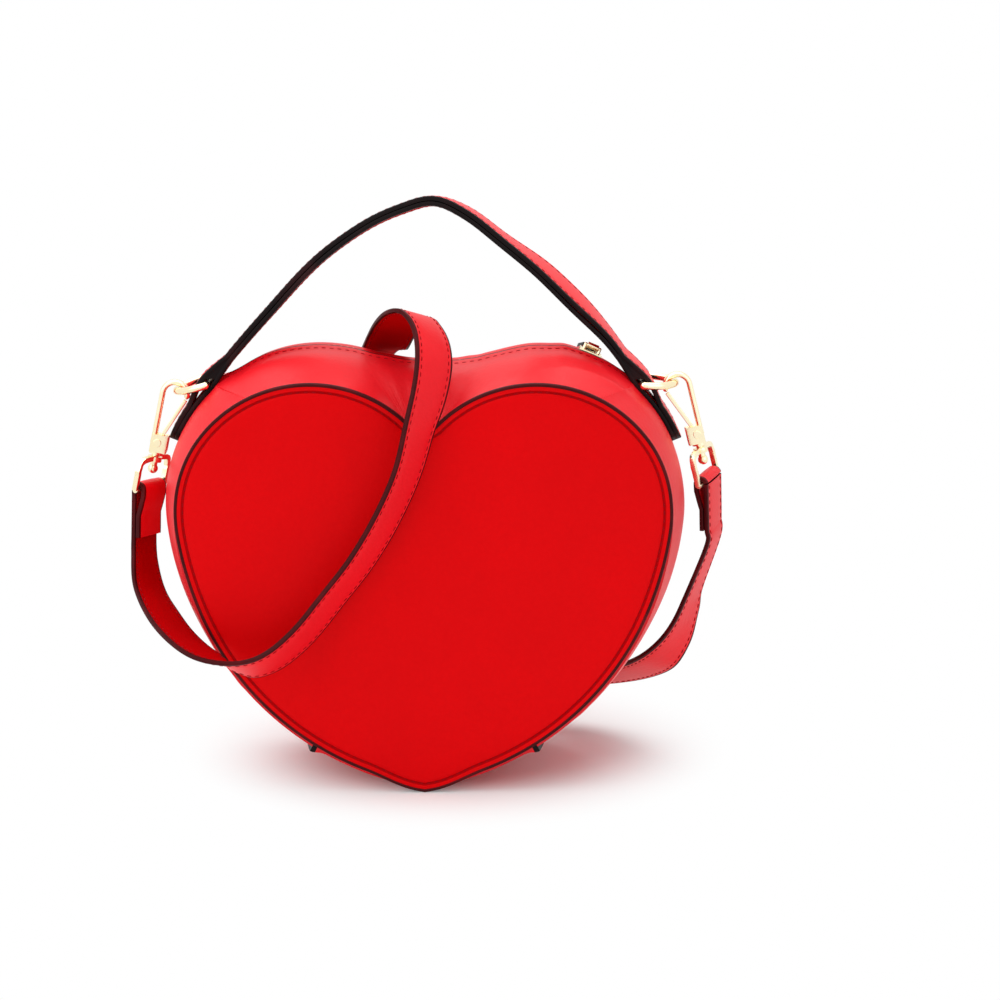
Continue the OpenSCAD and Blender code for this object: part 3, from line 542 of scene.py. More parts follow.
def skin_point(s, y, grow):
    """A point over the gusset at place s and depth y, grown outwards. Along the zip the
    leather has settled a little."""
    p = panel_heart.at(s, grow).lerp(crest_heart.at(s, grow), bulge(y))
    settled = from_stops(slack_stops, p.x) * bulge(y) if abs(s) < strip_end else 0
    return Vector((p.x, y, p.y - settled))


def pucker(s, y):
    """How far the leather stands up where the seam gathers it, and where it creases softly.
    One longer fold lies at the front of the right shoulder."""
    gathers, creases, fold_rise, fold_w, fold_at = 0.5 * mm, 0.35 * mm, 0.75 * mm, 2.6 * mm, 1.42
    near = exp(-(panel_back - abs(y)) / (4 * mm))
    gather = noise.noise(Vector((s * 26, y * 60, 1.7))) * gathers * near
    soft = noise.noise(Vector((s * 4.2, y * 38, 4.1))) * creases
    fold = 0.0
    if y < 0 and s > 0:
        middle = (-25 + 5 * (s - 1.3)) * mm
        fold = fold_rise * exp(-((y - middle) / fold_w) ** 2) * exp(-((s - fold_at) / 0.16) ** 2)
    return (gather + soft) * min(1, (panel_back - abs(y)) / (2 * mm)) + fold


def both_faces(low, high, rows, outer, inner):
    """Across one face of a sheet, back over the other one, and on to the first point."""
    levels = [mixed(low, high, j / rows) for j in range(rows + 1)]
    outline = [(y, outer) for y in levels] + [(y, inner) for y in reversed(levels)]
    return outline + outline[:1]


def paint_ends(form):
    """Gives the flat faces that close a form's ends its second finish."""
    for face in form.faces:
        if len(face.verts) > 4:
            face.material_index = 1
    return form


def gusset_piece(place_at, low, high, columns, rows, rise, paint=None):
    """A closed piece of gusset leather between two depths, along the places that place_at
    gives. rise says how far its outer face stands up, and paint where it is painted."""
    outline = both_faces(low, high, rows, 0, 1)
    edges = (outline[0][0], outline[rows][0])

    def skin(i, j):
        y, inner = outline[j]
        share = i / columns
        s = place_at(share)
        if inner:
            return skin_point(s, y, -gusset_t)
        cut = y in edges and abs(y) < panel_back - mm
        return skin_point(s, y, rise(s, y, share) - (edge_round if cut else 0))

    def finish_at(across, down):
        return int(paint(across, max(abs(outline[down][0]), abs(outline[down + 1][0]))))
    return draped(columns, len(outline) - 1, skin, finish_at if paint else None)


front_lip, rear_lip, lip_in, lip_w = (q * mm for q in (1.8, -1.2, 1.3, 4.2))
seam_in, seam_w, seam_d = (q * mm for q in (4.6, 0.5, 0.14))


def strip_rise(s, y, share=0):
    """The front strip's edge is turned under along the zip and stands up in front of it. The
    rear strip lies a little slack behind it. Both are pressed in under their stitches."""
    from_edge = abs(y) - zip_slot
    height = front_lip if y < 0 else rear_lip
    lip = height * exp(-((from_edge - lip_in) / lip_w) ** 2) * eased(from_edge / (1.2 * mm))
    groove = -seam_d * exp(-((from_edge - seam_in) / seam_w) ** 2)
    return pucker(s, y) + lip + groove


def strip_place(share):
    return mixed(-strip_end, strip_end, share)


for side, name in ((-1, "front"), (1, "rear")):
    low, high = sorted((side * panel_back, side * zip_slot))
    strip = gusset_piece(strip_place, low, high, 260, 44, strip_rise,
                         lambda across, depth: depth < zip_slot + turned_under)
    piece("zip_strip_" + name + "_leather", strip, "root", "leather_gusset",
          [gusset_leather, edge_paint], ["zip_strip_" + name], crease=60)
    seam_y = side * (zip_slot + seam_in)
    sewing = []
    for i in range(401):
        s = mixed(-strip_end + 0.03, strip_end - 0.03, i / 400)
        point = skin_point(s, seam_y, strip_rise(s, seam_y) + 0.02 * mm)
        out = skin_point(s, seam_y, mm) - skin_point(s, seam_y, 0)
        sewing.append((point, out.normalized()))
    piece("zip_strip_" + name + "_stitches", stitches(sewing), "root", "leather_gusset", [thread])

side_lap, base_lap, base_lap_share, base_columns = 0.55 * mm, 2.1 * mm, 0.035, 96


def side_rise(s, y, share):
    """The side piece laps over the end of the zip strips."""
    return pucker(s, y) + side_lap * exp(-max(0, abs(s) - strip_end) * 60)


for side, name in ((-1, "left"), (1, "right")):
    first, last = sorted((side * strip_end, side * base_end))
    wall = gusset_piece(lambda share: mixed(first, last, share), -panel_back, panel_back, 110, 64,
                        side_rise)
    piece("side_gusset_" + name + "_leather", wall, "root", "leather_gusset", [gusset_leather],
          ["side_gusset_" + name], crease=60)


def base_place(share):
    """The base runs from the right side round the tip to the left side."""
    s = base_end + share * 2 * (3 - base_end)
    return s if s <= 3 else s - 6


def base_rise(s, y, share):
    """The base laps over the side pieces, so that its painted ends stand up a little."""
    from_end = min(share, 1 - share)
    return pucker(s, y) * 0.6 + base_lap * exp(-(from_end / base_lap_share) ** 2)


base = gusset_piece(base_place, -panel_back, panel_back, base_columns, 48, base_rise,
                    lambda across, depth: across < 2 or across > base_columns - 3)
piece("base_gusset_leather", paint_ends(base), "root", "leather_gusset",
      [gusset_leather, edge_paint], ["base_gusset"], crease=60)


# Lining and stiffening
# Dark red woven cloth lines the panels and the gusset, with seam tape round the boards and
# a slip pocket on the rear. Grey pressed board stiffens both panels behind the leather.
board_t, layer_gap, lining_t, tape_w = 1.2 * mm, 0.1 * mm, 0.6 * mm, 6 * mm
board_back = panel_back - board_t
lining_front = board_back - layer_gap
lining_back = lining_front - lining_t
lining_edge = lining_back - layer_gap
tape_outside = -gusset_t - 4 * layer_gap
lining_outside = -gusset_t - 2 * layer_gap
lining_inside = lining_outside - lining_t
cloth_columns = 160


def woven(red, yarns=1400):
    """Plain woven cloth: warp and weft cross over and under in turn."""
    def look(wire):
        place = wire.place("UV")
        split = wire.node("SeparateXYZ", inputs={0: place})
        along = wire.node("SeparateXYZ", inputs={0: place}, output=1)
        warp = wire.maths("SINE", split * (yarns * pi))
        weft = wire.maths("SINE", along * (yarns * pi))
        over = warp * weft
        slub = place.spots(160, 2)
        base = wire.mix(over * 0.35 + slub * 0.5 + 0.2, tuple(c * 0.6 for c in red[:3]) + (1,), red)
        return {"Base Color": base, "Roughness": 0.8 + 0.1 * (slub - 0.5),
                "Specular IOR Level": 0.2, "Normal": wire.bumps(over, 0.0001, 0.5)}
    return look


lining_cloth = finish("lining_cloth", woven(colour(142, 26, 32)))
tape_cloth = finish("zip_tape_cloth", woven(colour(196, 40, 58), 1700))


def pressed(wire):
    """Pressed fibre board, flecked."""
    place = wire.place()
    fleck = place.spots(520, 4, Roughness=0.7)
    base = wire.mix(fleck, colour(112, 104, 94), colour(168, 158, 146))
    return {"Base Color": base, "Roughness": 0.8 + 0.15 * (fleck - 0.5),
            "Normal": wire.bumps(fleck, 0.0001, 0.4)}


fibre_board = finish("fibre_board", pressed)


def coated(node, look):
    """Gives a solid that is shown as it is its finish."""
    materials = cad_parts[node].data.materials
    materials.clear()
    materials.append(look)


for side, name in ((-1, "front"), (1, "rear")):
    coated(name + "_board", fibre_board)
    places, around = panel_heart.even(cloth_columns)

    def flat_heart(rim, face, back):
        """A heart of cloth, from its back's centre round the rim to its face's centre."""
        rows = [(back, 0), (back, 0.5), (back, 1), (face, 1), (face, 0.5), (face, 0)]

        def at(i, j):
            y, share = rows[j]
            p = panel_centre + (panel_heart.at(places[i], rim) - panel_centre) * share
            return Vector((p.x, side * y, p.y))
        return draped(cloth_columns, len(rows) - 1, at, cloth=(around, 0.3))

    piece(name + "_lining_cloth", flat_heart(tape_outside - gusset_t, lining_front, lining_back),
          "root", "lining", [lining_cloth], [name + "_lining"])

    tape_rows = ((0, panel_back), (0, board_back), (tape_w, board_back), (tape_w, panel_back),
                 (0, panel_back))

    def tape_point(i, j):
        inset, y = tape_rows[j]
        p = panel_heart.at(places[i], tape_outside - inset)
        return Vector((p.x, side * y, p.y))

    tape = draped(cloth_columns, len(tape_rows) - 1, tape_point, cloth=(around, 0.014))
    piece(name + "_seam_tape_cloth", tape, "root", "lining", [lining_cloth], [name + "_seam_tape"])


def cloth_skin(place_at, low, high, rows):
    """Thin cloth over the inside of the gusset, closed all round."""
    outline = both_faces(low, high, rows, lining_outside, lining_inside)
    return draped(cloth_columns, len(outline) - 1,
                  lambda i, j: skin_point(place_at(i / cloth_columns), *outline[j]),
                  cloth=(0.4, 2 * abs(high - low)))


def bag_place(share):
    """From the right end of the zip strips, down round the tip and up to their left end."""
    s = strip_end + share * (6 - 2 * strip_end)
    return s if s <= 3 else s - 6


piece("gusset_lining_cloth", cloth_skin(bag_place, -lining_edge, lining_edge, 24), "root",
      "lining", [lining_cloth], ["gusset_lining"])
tape_from, tape_to = 2.65 * mm, 8.6 * mm
for side, name in ((-1, "front"), (1, "rear")):
    for kind, low, high, look, slot in (
            ("strip_lining_", tape_to + layer_gap, lining_edge, lining_cloth, "lining"),
            ("zip_tape_", tape_from, tape_to, tape_cloth, "zip_tape")):
        piece(kind + name + "_cloth", cloth_skin(strip_place, side * low, side * high, 12),
              "root", slot, [look], [kind + name])

pocket_w, pocket_h, pocket_z = 90 * mm, 55 * mm, 55 * mm
pocket_columns, pocket_rows = 24, 5


def pocket_point(i, j):
    """Up the outside, over the top edge and down the inside, back to the first row."""
    j %= 2 * pocket_rows + 2
    inside = j > pocket_rows
    up = (2 * pocket_rows + 1 - j if inside else j) / pocket_rows
    x = mixed(-pocket_w / 2, pocket_w / 2, i / pocket_columns)
    return Vector((x, lining_edge - (lining_t if inside else 0), pocket_z + up * pocket_h))


pocket = draped(pocket_columns, 2 * pocket_rows + 2, pocket_point, cloth=(pocket_w, 2 * pocket_h))
piece("slip_pocket_cloth", pocket, "root", "lining", [lining_cloth], ["slip_pocket"])


# Zip and metal trim
# Pale gold plated metal: the zip's teeth, stops and slider, the rings, the snap hooks with
# their pins, springs and gates, and the strap's eyes. Cast pieces with softened edges.
def plated(wire):
    """Polished pale gold plating with a faint drawn grain and handling marks."""
    place = wire.place()
    marks = place.spots(900, 3)
    haze = place.spots(90, 2)
    base = wire.mix(haze, colour(250, 232, 184), colour(255, 247, 218))
    return {"Base Color": base, "Metallic": 1.0, "Roughness": 0.15 + 0.12 * haze,
            "Normal": wire.bumps(marks, 0.00003, 0.3)}


gold = finish("pale_gold_plating", plated)


def softened(node, edge, segments=3, trim=None):
    """A copy of a metal solid with its longer sharp edges rounded off. trim says which of
    its points are left out."""
    form = bmesh.new()
    form.from_mesh(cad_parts[node].data)
    bmesh.ops.remove_doubles(form, verts=form.verts, dist=1e-6)
    if trim:
        bmesh.ops.delete(form, geom=[v for v in form.verts if trim(v.co)], context="VERTS")
        bmesh.ops.holes_fill(form, edges=[e for e in form.edges if e.is_boundary], sides=0)
    bmesh.ops.dissolve_limit(form, angle_limit=radians(1.5), verts=form.verts, edges=form.edges)
    sharp = [e for e in form.edges if e.is_manifold and e.calc_face_angle(0) > radians(34)]
    if trim:
        tiny = {v for e in form.edges if e.calc_length() < 0.8 * mm for v in e.verts}
        sharp = [e for e in sharp if not tiny & set(e.verts)]
    bmesh.ops.bevel(form, geom=sharp, offset=edge, offset_type="OFFSET", segments=segments,
                    profile=0.5, affect="EDGES", clamp_overlap=True, material=-1)
    bmesh.ops.triangulate(form, faces=[f for f in form.faces if len(f.verts) > 4])
    return form


arch_u, arch_h, arch_r, hook_arm_w, hook_depth, barrel_top = (
    q * mm for q in (3.2, 21, 5, 2.4, 4, 3.4))
bar_sides = 20
ring_angle, ring_wire_r, ring_bow_r, wire_gap = 46, 1.5 * mm, 13.6 * mm, 0.4 * mm
layer_t, nose_angle = 1.8 * mm, -13
lean = {-1: radians(12), 1: radians(14)}
tilt = {-1: radians(17), 1: radians(3)}
ring_bar = on_arc(crest_heart.lobe, crest_heart.lobe_r + 2 * layer_gap + layer_t + ring_wire_r,
                  ring_angle)
wire_rest = (arch_u + wire_gap, arch_h + arch_r - hook_arm_w / 2 - ring_wire_r - wire_gap)


def hook_pin(side):
    """The gate's pin of a hook, drawn on the left for both."""
    a, b = lean[side], tilt[side]
    wire = Vector((-ring_bar.x - ring_bow_r * cos(b), ring_bar.y - ring_bow_r * sin(b)))
    return wire - Vector((wire_rest[0] * cos(a) + wire_rest[1] * sin(a),
                          wire_rest[1] * cos(a) - wire_rest[0] * sin(a)))


def hook_frame(side):
    """The place and turn of a hook, whose gate's pin is its middle."""
    pin = hook_pin(side)
    return Matrix.Diagonal((-side, 1, 1, 1)) @ Matrix.Translation((pin.x, 0, pin.y)) \
        @ Matrix.Rotation(lean[side], 4, "Y")


def hook_arm(side):
    """The hook's arm and arch, drawn from round bar and a little flattened."""
    line = [Vector((arch_u - arch_r, mixed(mm, arch_h, k / 10))) for k in range(10)]
    line += [on_arc((arch_u, arch_h), arch_r, mixed(180, nose_angle, k / 32)) for k in range(33)]
    stand = hook_frame(side)
    last = len(line) - 1

    def bar(i, j):
        ahead, behind = line[min(i + 1, last)], line[max(i - 1, 0)]
        d = (ahead - behind).normalized()
        turn = 2 * pi * j / bar_sides
        nose = sqrt(max(0.05, 1 - (1 - min(1, (last - i) / 3)) ** 2))
        a, b = squared(turn, 0.8)
        q = line[i] + d.orthogonal() * a * nose * hook_arm_w / 2
        return stand @ Vector((q.x, b * nose * hook_depth / 2, q.y))
    return draped(last, bar_sides, bar)


for side, name in ((-1, "left"), (1, "right")):
    stand = hook_frame(side).inverted()
    barrel = softened("hook_body_" + name, 0.55 * mm,
                      trim=lambda p: (stand @ p).z > barrel_top + 0.2 * mm)
    piece("hook_body_" + name + "_plated", joined(barrel, hook_arm(side)), "hook_" + name,
          "metal_gold", [gold], ["hook_body_" + name], crease=30)

# Each solid of metal, its body and how far its edges are rounded, in mm
for node, body, edge in (
        ("zip_teeth_front", "root", 0.16), ("zip_teeth_rear", "root", 0.16),
        ("zip_stops", "root", 0.25), ("zip_slider", "slider", 0.3),
        ("zip_pull_link", "puller", 0.2),
        ("ring_left", "ring_left", 0), ("ring_right", "ring_right", 0),
        ("hook_pin_left", "hook_left", 0.15), ("hook_pin_right", "hook_right", 0.15),
        ("hook_spring_left", "hook_left", 0), ("hook_spring_right", "hook_right", 0),
        ("gate_left", "gate_left", 0.55), ("gate_right", "gate_right", 0.55),
        ("strap_eye_left", "root", 0.8), ("strap_eye_right", "root", 0.8)):
    if edge:
        form = softened(node, edge * mm)
        for v in form.verts if "teeth" in node else ():
            v.co.z -= from_stops(slack_stops, v.co.x)
        piece(node + "_plated", form, body, "metal_gold", [gold], [node], crease=30)
    else:
        coated(node, gold)


# Carrying handle and tabs
# A strap of two leather layers, sewn together and painted black along the edges. Its layers
# part at each end round a ring's bar, and are sewn down on the gusset as a tab.
def spline(points, i, t):
    """A point on a smooth line through the points, past the i-th by a share t."""
    a, b, c, d = (points[max(0, min(k, len(points) - 1))] for k in (i - 1, i, i + 1, i + 2))
    return (2 * b + (c - a) * t + (2 * a - 5 * b + 4 * c - d) * t ** 2
            + (3 * b - a - 3 * c + d) * t ** 3) * 0.5


def smoothed(points, n, short=0):
    """A smooth line in n steps a stretch, without its last stretch where short is 1."""
    line = [spline(points, i, k / n) for i in range(len(points) - 1 - short) for k in range(n)]
    return line if short else line + [points[-1]]


def along(line, i):
    """The direction of a line at its i-th point."""
    return (line[min(i + 1, len(line) - 1)] - line[max(i - 1, 0)]).normalized()


def relaxed(line, times):
    """The line with its kinks worked out of it."""
    for _ in range(times):
        between = [(a + 2 * b + c) / 4 for a, b, c in zip(line, line[1:], line[2:])]
        line = [line[0], *between, line[-1]]
    return line


def beside(line, by):
    """The line moved sideways, to the left of its own direction."""
    return [p + along(line, i).orthogonal() * by for i, p in enumerate(line)]


handle_w, handle_inset, handle_join_rise, handle_rise = (q * mm for q in (20, 8.9, 10.4, 63))
handle_span = 2 * (ring_bar.x - handle_inset)
handle_join_z = ring_bar.y + handle_join_rise
handle_top_z = handle_join_z + handle_rise
handle_shares = (
    (-1, 0), (-0.85, 0.27), (-0.66, 0.556), (-0.5, 0.746), (-0.325, 0.889), (-0.15, 0.968),
    (0.025, 1), (0.19, 0.905), (0.375, 0.73), (0.575, 0.54), (0.76, 0.333), (0.91, 0.143), (1, 0))
handle_line = [Vector((x * handle_span / 2, mixed(handle_join_z, handle_top_z, z)))
               for x, z in handle_shares]
handle_curve = smoothed(handle_line, 6)
layer_shift = (layer_t + layer_gap) / 2
tab_inner_r = crest_heart.lobe_r + layer_gap + layer_t / 2
tab_outer_r = tab_inner_r + layer_t + layer_gap
ring_wrap_r = ring_wire_r + layer_gap + layer_t / 2


def tab_line(join, stops, radius, angle):
    """A layer's line from the handle's join round the ring and down over the right flank."""
    arc = [on_arc(crest_heart.lobe, radius, mixed(angle, 22, k / 12)) for k in range(13)]
    return smoothed([join, *stops, arc[0], arc[1]], 7, short=1) + arc


def tab_path(by, stops, radius, angle):
    """The line of one layer from the left tab over the handle to the right tab."""
    middle = beside(handle_curve, by)
    left = tab_line(Vector((-middle[0].x, middle[0].y)), stops, radius, angle)
    return [Vector((-p.x, p.y)) for p in reversed(left)] + middle[1:-1] \
        + tab_line(middle[-1], stops, radius, angle)


inner_path = tab_path(-layer_shift, [], tab_inner_r, 47)
outer_path = tab_path(layer_shift, [on_arc(ring_bar, ring_wrap_r, 38)], tab_outer_r, 36)


# How far the leather has sunk in towards the heart at places along X
handle_sag = [(x * mm, sag * mm) for x, sag in (
    (-82, 0), (-74, 1.7), (-66, 2.2), (-52, 2.6), (-38, 3.2), (-26, 2.8), (-10, 1.2), (3, 0),
    (26, 0.2), (43, 1.4), (55, 2.5), (62, 2.2), (70, 1), (82, 0))]


def handle_twist(x, z, d):
    """The handle's rear edge lies straight behind its front edge on the left half and stands
    up behind it on the right half, in radians."""
    hold = eased((z - handle_join_z + 12 * mm) / (12 * mm))
    left = -radians(1.4) - asin(0.11 * max(0, d.x) - 0.05 * abs(d.y))
    right = radians(1 + 9 * eased((x - 28 * mm) / (24 * mm)) - 7 * eased((x - 62 * mm) / (14 * mm)))
    return hold * mixed(left, right, eased((x + 2 * mm) / (26 * mm)))


def ribbon(stations, width, thick, back_shade_finish=0, tips=0, groove=True):
    """Strap leather with painted edges. A station is a middle point, the direction of its
    width and the direction out of its face; a tip draws the width in to a round end. The
    back of the leather gets the finish of that number; on the strap and handle that is a
    darker red, painted shade on their undersides."""
    run = lengths([middle for middle, _, _ in stations])
    half, deep = width / 2, thick / 2
    edge, press = 1.1 * mm, (0.14 * mm if groove else 0)
    face = [(-half + edge, deep), (-half + 1.5 * mm, deep), (-half + 2.2 * mm, deep - press),
            (-half + 2.9 * mm, deep), (-half * 0.4, deep + 0.1 * mm), (0, deep + 0.12 * mm)]
    face += [(-a, b) for a, b in reversed(face[:-1])]
    side = [(half - 0.12 * mm, deep * 0.8), (half, deep * 0.35)]
    side += [(a, -b) for a, b in reversed(side)]
    outline = face + side + [(-a, -b) for a, b in face] + [(-a, -b) for a, b in side]
    outline.append(outline[0])
    top, rim = len(face), len(side)

    def draw(i, j):
        point, across, out = stations[i]
        a, b = outline[j]
        left = min(run[i], run[-1] - run[i])
        if left < tips:
            a *= max(0.35, sqrt(max(0, 1 - (1 - left / tips) ** 2)))
        return point + across * a + out * b

    def paint(across, down):
        if down < top - 1:
            return 0
        return back_shade_finish if top + rim <= down < 2 * top + rim - 1 else 1

    return paint_ends(draped(len(stations) - 1, len(outline) - 1, draw, paint))


def handle_stations(line, side):
    """Stations of the outer (1) or inner (-1) handle layer, turned about its front edge."""
    turns, shifts, made = [], [], []
    lean_over, parted = Vector((1.9 * mm, 1.3 * mm)), side * 0.08 * mm
    for i, p in enumerate(line):
        d = along(line, i)
        above = p.y - handle_join_z
        turns.append(handle_twist(p.x, p.y, d))
        sideways = (parted - from_stops(handle_sag, p.x)) * eased(above / (14 * mm))
        shifts.append(lean_over * eased(above / (30 * mm)) + d.orthogonal() * sideways)
    for i, (p, turn, shift) in enumerate(zip(line, relaxed(turns, 8), relaxed(shifts, 8))):
        d = along(line, i)
        across = Vector((0, cos(turn), 0)) + Vector((-d.y, 0, d.x)) * sin(turn)
        front = Vector((p.x + shift.x, -handle_w / 2, p.y + shift.y))
        made.append((front + across * handle_w / 2, across,
                     Vector((d.x, 0, d.y)).cross(across).normalized()))
    return made


seam_inset = 2.2 * mm


def edge_rows(stations, width, rise):
    """Two rows of stitches along a strap, one near each edge, on the side that rise says."""
    facing = 1 if rise > 0 else -1
    return [[(p + across * side * (width / 2 - seam_inset) + out * rise, out * facing)
             for p, across, out in stations] for side in (-1, 1)]


def height_cut(line, z):
    """Where the right end of a line comes down through a height."""
    for a, b in zip(line[len(line) // 2:], line[len(line) // 2 + 1:]):
        if a.y >= z > b.y:
            return a.lerp(b, (a.y - z) / (a.y - b.y))


wedge_rows, sunk = 8, 0.02 * mm


def wedge(side):
    """The leather core that fills the corner between the two layers above a ring's bar."""
    top, bottom = handle_join_z + 2 * mm, ring_bar.y + ring_wire_r + 0.6 * mm
    heights = [mixed(top, bottom, k / wedge_rows) for k in range(wedge_rows + 1)]
    under = [height_cut(beside(outer_path, sunk - layer_t / 2), z) for z in heights]
    over = [height_cut(beside(inner_path, layer_t / 2 - sunk), z) for z in heights]
    half = handle_w / 2 - 0.25 * mm

    def corner(i, j):
        p = (under if j % 4 in (0, 1) else over)[i]
        return Vector((side * p.x, half if j % 4 in (1, 2) else -half, p.y))
    return draped(wedge_rows, 4, corner, lambda across, down: 1)


handle_forms, handle_sewing = [wedge(-1), wedge(1)], []
for path, face in ((inner_path, -1), (outer_path, 1)):
    stations = handle_stations(path, face)
    handle_forms.append(ribbon(stations, handle_w, layer_t + 0.3 * mm, back_shade_finish=2, tips=7 * mm))
    rows = edge_rows(stations[4:-4], handle_w, face * (layer_t / 2 + 0.06 * mm))
    handle_sewing += [stitches(row) for row in rows]
# The handle's back gets the darker red of painted shade.
handle = piece("carrying_handle", joined(*handle_forms), None, "leather_strap",
               [strap_leather, edge_paint, strap_back_painted_shade],
               ["handle_outer", "handle_inner", "tab_base_left", "tab_base_right", "tab_flap_left",
                "tab_flap_right"], crease=60)
sewing = piece("carrying_handle_stitches", joined(*handle_sewing), None, "leather_strap", [thread])
for made in (handle, sewing):
    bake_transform(made)


# Shoulder strap
# Two layers of the same red leather, sewn along both edges and painted dark brown there.
# Their backs are coloured a darker red, as painted shade.
# They hang from one hook, cross the front, run through the handle and come round the back
# to the other hook, and each end folds round a hook's eye.
strap_w, strap_t, fold_l, eye_wire_r, eye_drop = 18.5 * mm, 2 * mm, 20 * mm, 1.1 * mm, 19.5 * mm
bag_size = Vector((200 * mm, 80 * mm, 167 * mm))
strap_side = Vector((0.38, 0.925, 0)).normalized()
strap_out = Vector((strap_side.y, -strap_side.x, 0))
fold_mid_r = eye_wire_r + layer_gap + strap_t / 2


def eye_bar(side):
    """The middle of the bar of a hook's eye."""
    p = hook_pin(side)
    return Vector((-side * (p.x - eye_drop * sin(lean[side])), 0, p.y - eye_drop * cos(lean[side])))


def bar_tip(side):
    """How far that bar is tipped, since the hook leans."""
    return side * asin(strap_side.x * sin(lean[side]))


def bar_along(side):
    return (strap_side * cos(bar_tip(side)) + Vector((0, 0, sin(bar_tip(side))))).normalized()


def straight_end(side, drop):
    """The strap's front edge below an eye's bar."""
    fall = strap_side * sin(bar_tip(side)) - Vector((0, 0, cos(bar_tip(side))))
    return eye_bar(side) - bar_along(side) * (strap_w / 2) + strap_out * side * fold_mid_r \
        + fall * drop


route_shares = (
    (-0.598, -0.2, 0.48), (-0.562, -0.41, 0.427), (-0.513, -0.615, 0.393),
    (-0.459, -0.765, 0.371), (-0.406, -0.815, 0.362), (-0.355, -0.805, 0.363),
    (-0.308, -0.77, 0.383), (-0.255, -0.74, 0.437), (-0.202, -0.73, 0.516),
    (-0.149, -0.728, 0.598), (-0.1, -0.728, 0.696), (-0.056, -0.728, 0.813),
    (-0.033, -0.728, 0.93), (-0.016, -0.675, 1.022), (-0.0115, -0.6, 1.094),
    (-0.0216, -0.475, 1.144), (-0.0478, -0.35, 1.1695), (-0.078, -0.2125, 1.156),
    (-0.103, -0.05, 1.119), (-0.123, 0.175, 1.068), (-0.139, 0.4125, 1.016),
    (-0.1553, 0.5625, 0.95), (-0.17, 0.6, 0.87), (-0.165, 0.585, 0.737), (-0.14, 0.58, 0.587),
    (-0.08, 0.58, 0.45), (0.01, 0.58, 0.34), (0.11, 0.58, 0.26), (0.205, 0.59, 0.2),
    (0.29, 0.56, 0.163), (0.36, 0.465, 0.178), (0.41, 0.32, 0.21), (0.45, 0.155, 0.255),
    (0.485, 0.055, 0.305), (0.512, -0.01, 0.36), (0.535, -0.06, 0.43))
end_shares, route_steps, turn_rings = (0, 0.5, 1, 1.3), 3, {-1: 6, 1: 12}
route_points = [straight_end(-1, q * fold_l) for q in end_shares] \
    + [Vector([a * b for a, b in zip(q, bag_size)]) for q in route_shares] \
    + [straight_end(1, q * fold_l) for q in reversed(end_shares)]
fine = 6
route = smoothed(route_points, route_steps * fine)
strap_lean, front_lean = Vector((0.55, 0.835, -0.25)), Vector((0.66, 0.72, -0.22))
flank_lean = Vector((0.77, 0.50, -0.40))
loop_start = len(end_shares) + 11
loop_leans = [strap_lean] + [Vector(q) for q in (
    (0.62, 0.76, -0.25), (0.70, 0.66, -0.27), (0.73, 0.60, -0.32), (0.69, 0.65, -0.30),
    (0.70, 0.64, -0.32), (0.76, 0.55, -0.29), (0.66, 0.65, -0.38), (0.58, 0.70, -0.42),
    (0.56, 0.78, -0.35))] + [strap_lean]
straight_rings = route_steps * (len(end_shares) - 1)
last_ring = (len(route) - 1) / fine


def route_lean(i):
    """The direction that the strap's width tries to keep, turned from each eye's own."""
    ring = i / fine
    side = -1 if ring < last_ring / 2 else 1
    near = ring if side < 0 else last_ring - ring
    t = max(0, min(1, (near - straight_rings) / turn_rings[side]))
    k = ring / route_steps - loop_start
    if 0 < k < len(loop_leans) - 1:
        return spline(loop_leans, int(k), k - int(k))
    keep = front_lean.lerp(strap_lean, eased((ring - 22) / 14))
    if side > 0:
        keep = keep.lerp(flank_lean, eased((near - 10) / 13) * eased((42 - near) / 13))
    return bar_along(side).lerp(keep, t)


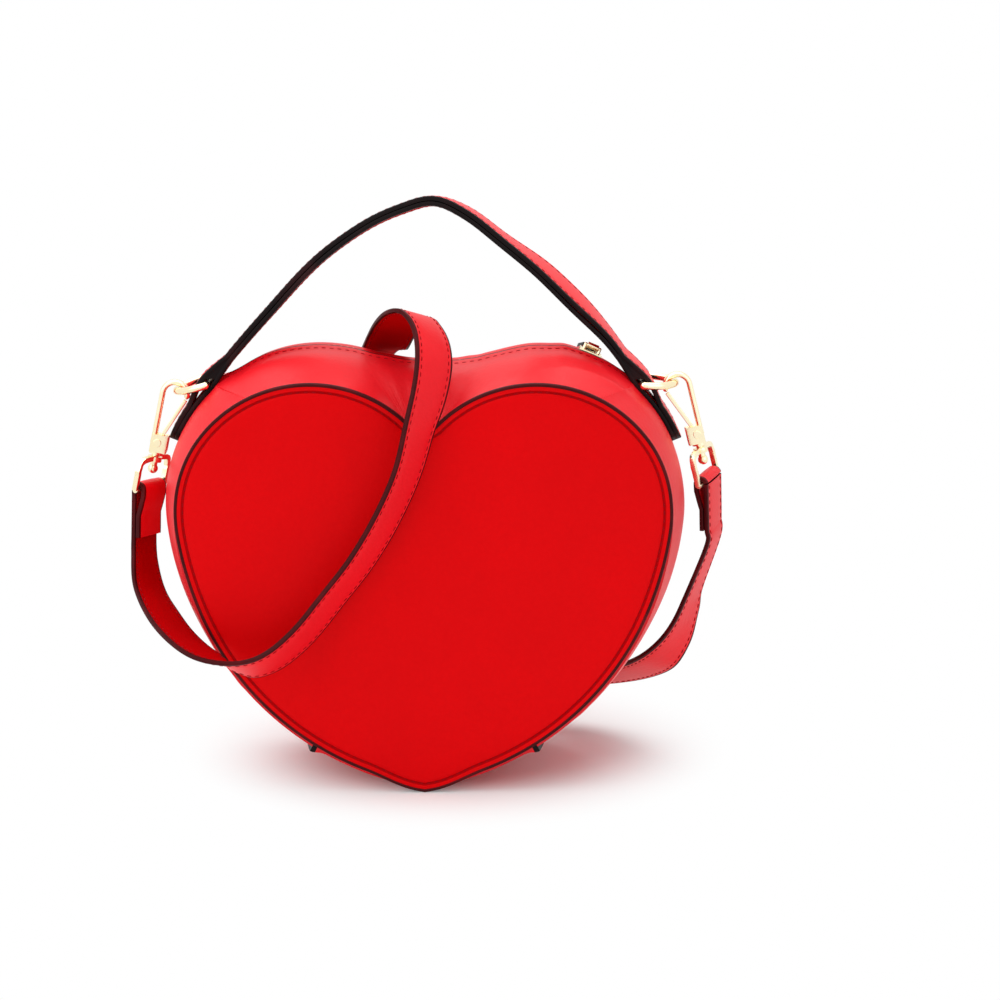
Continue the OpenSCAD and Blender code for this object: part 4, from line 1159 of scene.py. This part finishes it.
route = relaxed(route, 16)
widths = []
for i in range(len(route)):
    t = along(route, i)
    keep = route_lean(i)
    widths.append((keep - t * keep.dot(t)).normalized())
strap_stations = []
for i, (p, keep) in enumerate(zip(route, relaxed(widths, 50))):
    t = along(route, i)
    across = (keep - t * keep.dot(t)).normalized()
    strap_stations.append((p + across * strap_w / 2, across, across.cross(t).normalized()))
strap = ribbon(strap_stations, strap_w, strap_t, back_shade_finish=2)
piece("shoulder_strap_leather", strap, "root", "leather_strap",
      [strap_leather, brown_paint, strap_back_painted_shade], ["strap_outer_layer", "strap_inner_layer"],
      crease=60)
rows = [row for face in (1, -1)
        for row in edge_rows(strap_stations, strap_w, face * (strap_t / 2 - sunk))]
piece("shoulder_strap_stitches", joined(*(stitches(row) for row in rows)), "root", "leather_strap",
      [thread])

fold_slopes = ((0.95, 0.15), (0.5, 0.35))
for side, name in ((-1, "left"), (1, "right")):
    flat = fold_mid_r - strap_t - layer_gap
    line = [on_arc((0, 0), fold_mid_r, mixed(12, 180, k / 14)) for k in range(15)]
    line += [Vector((-mixed(-flat, fold_mid_r, a), -fold_l * b)) for a, b in fold_slopes]
    line += [Vector((flat, -fold_l * 0.55)), Vector((flat, -fold_l * 0.8)), Vector((flat, -fold_l))]
    turn = Matrix.Rotation(atan2(strap_out.y, strap_out.x), 3, "Z") \
        @ Matrix.Rotation(bar_tip(side), 3, "X") @ Matrix.Diagonal((side, 1, 1))
    stations = []
    for i, p in enumerate(line):
        d = along(line, i)
        stations.append((turn @ Vector((p.x, 0, p.y)) + eye_bar(side), turn @ Vector((0, 1, 0)),
                         turn @ Vector((-d.y, 0, d.x))))
    fold = ribbon(stations, strap_w, strap_t, groove=False)
    piece("strap_fold_" + name + "_leather", fold, "root", "leather_strap",
          [strap_leather, brown_paint], ["strap_fold_" + name], crease=60)


# Zip puller
# A short tongue of strap leather, folded through the slider's link, that lies back over the
# rear strip. Its faces are red and its cut edge is painted.
tongue = softened("zip_pull_tab", 0.3 * mm)
slider_angle, pull_lift = 67, -11    # the slider's place on its lobe, the puller's slope
pull_out = Matrix.Rotation(radians(90 - slider_angle), 3, "Y") \
    @ Matrix.Rotation(radians(pull_lift), 3, "X") @ Vector((0, 0, 1))
for face in tongue.faces:
    face.material_index = 0 if abs(face.normal.dot(pull_out)) > 0.9 else 1
piece("zip_pull_leather", tongue, "puller", "leather_strap", [strap_leather, edge_paint],
      ["zip_pull_tab"], crease=40)
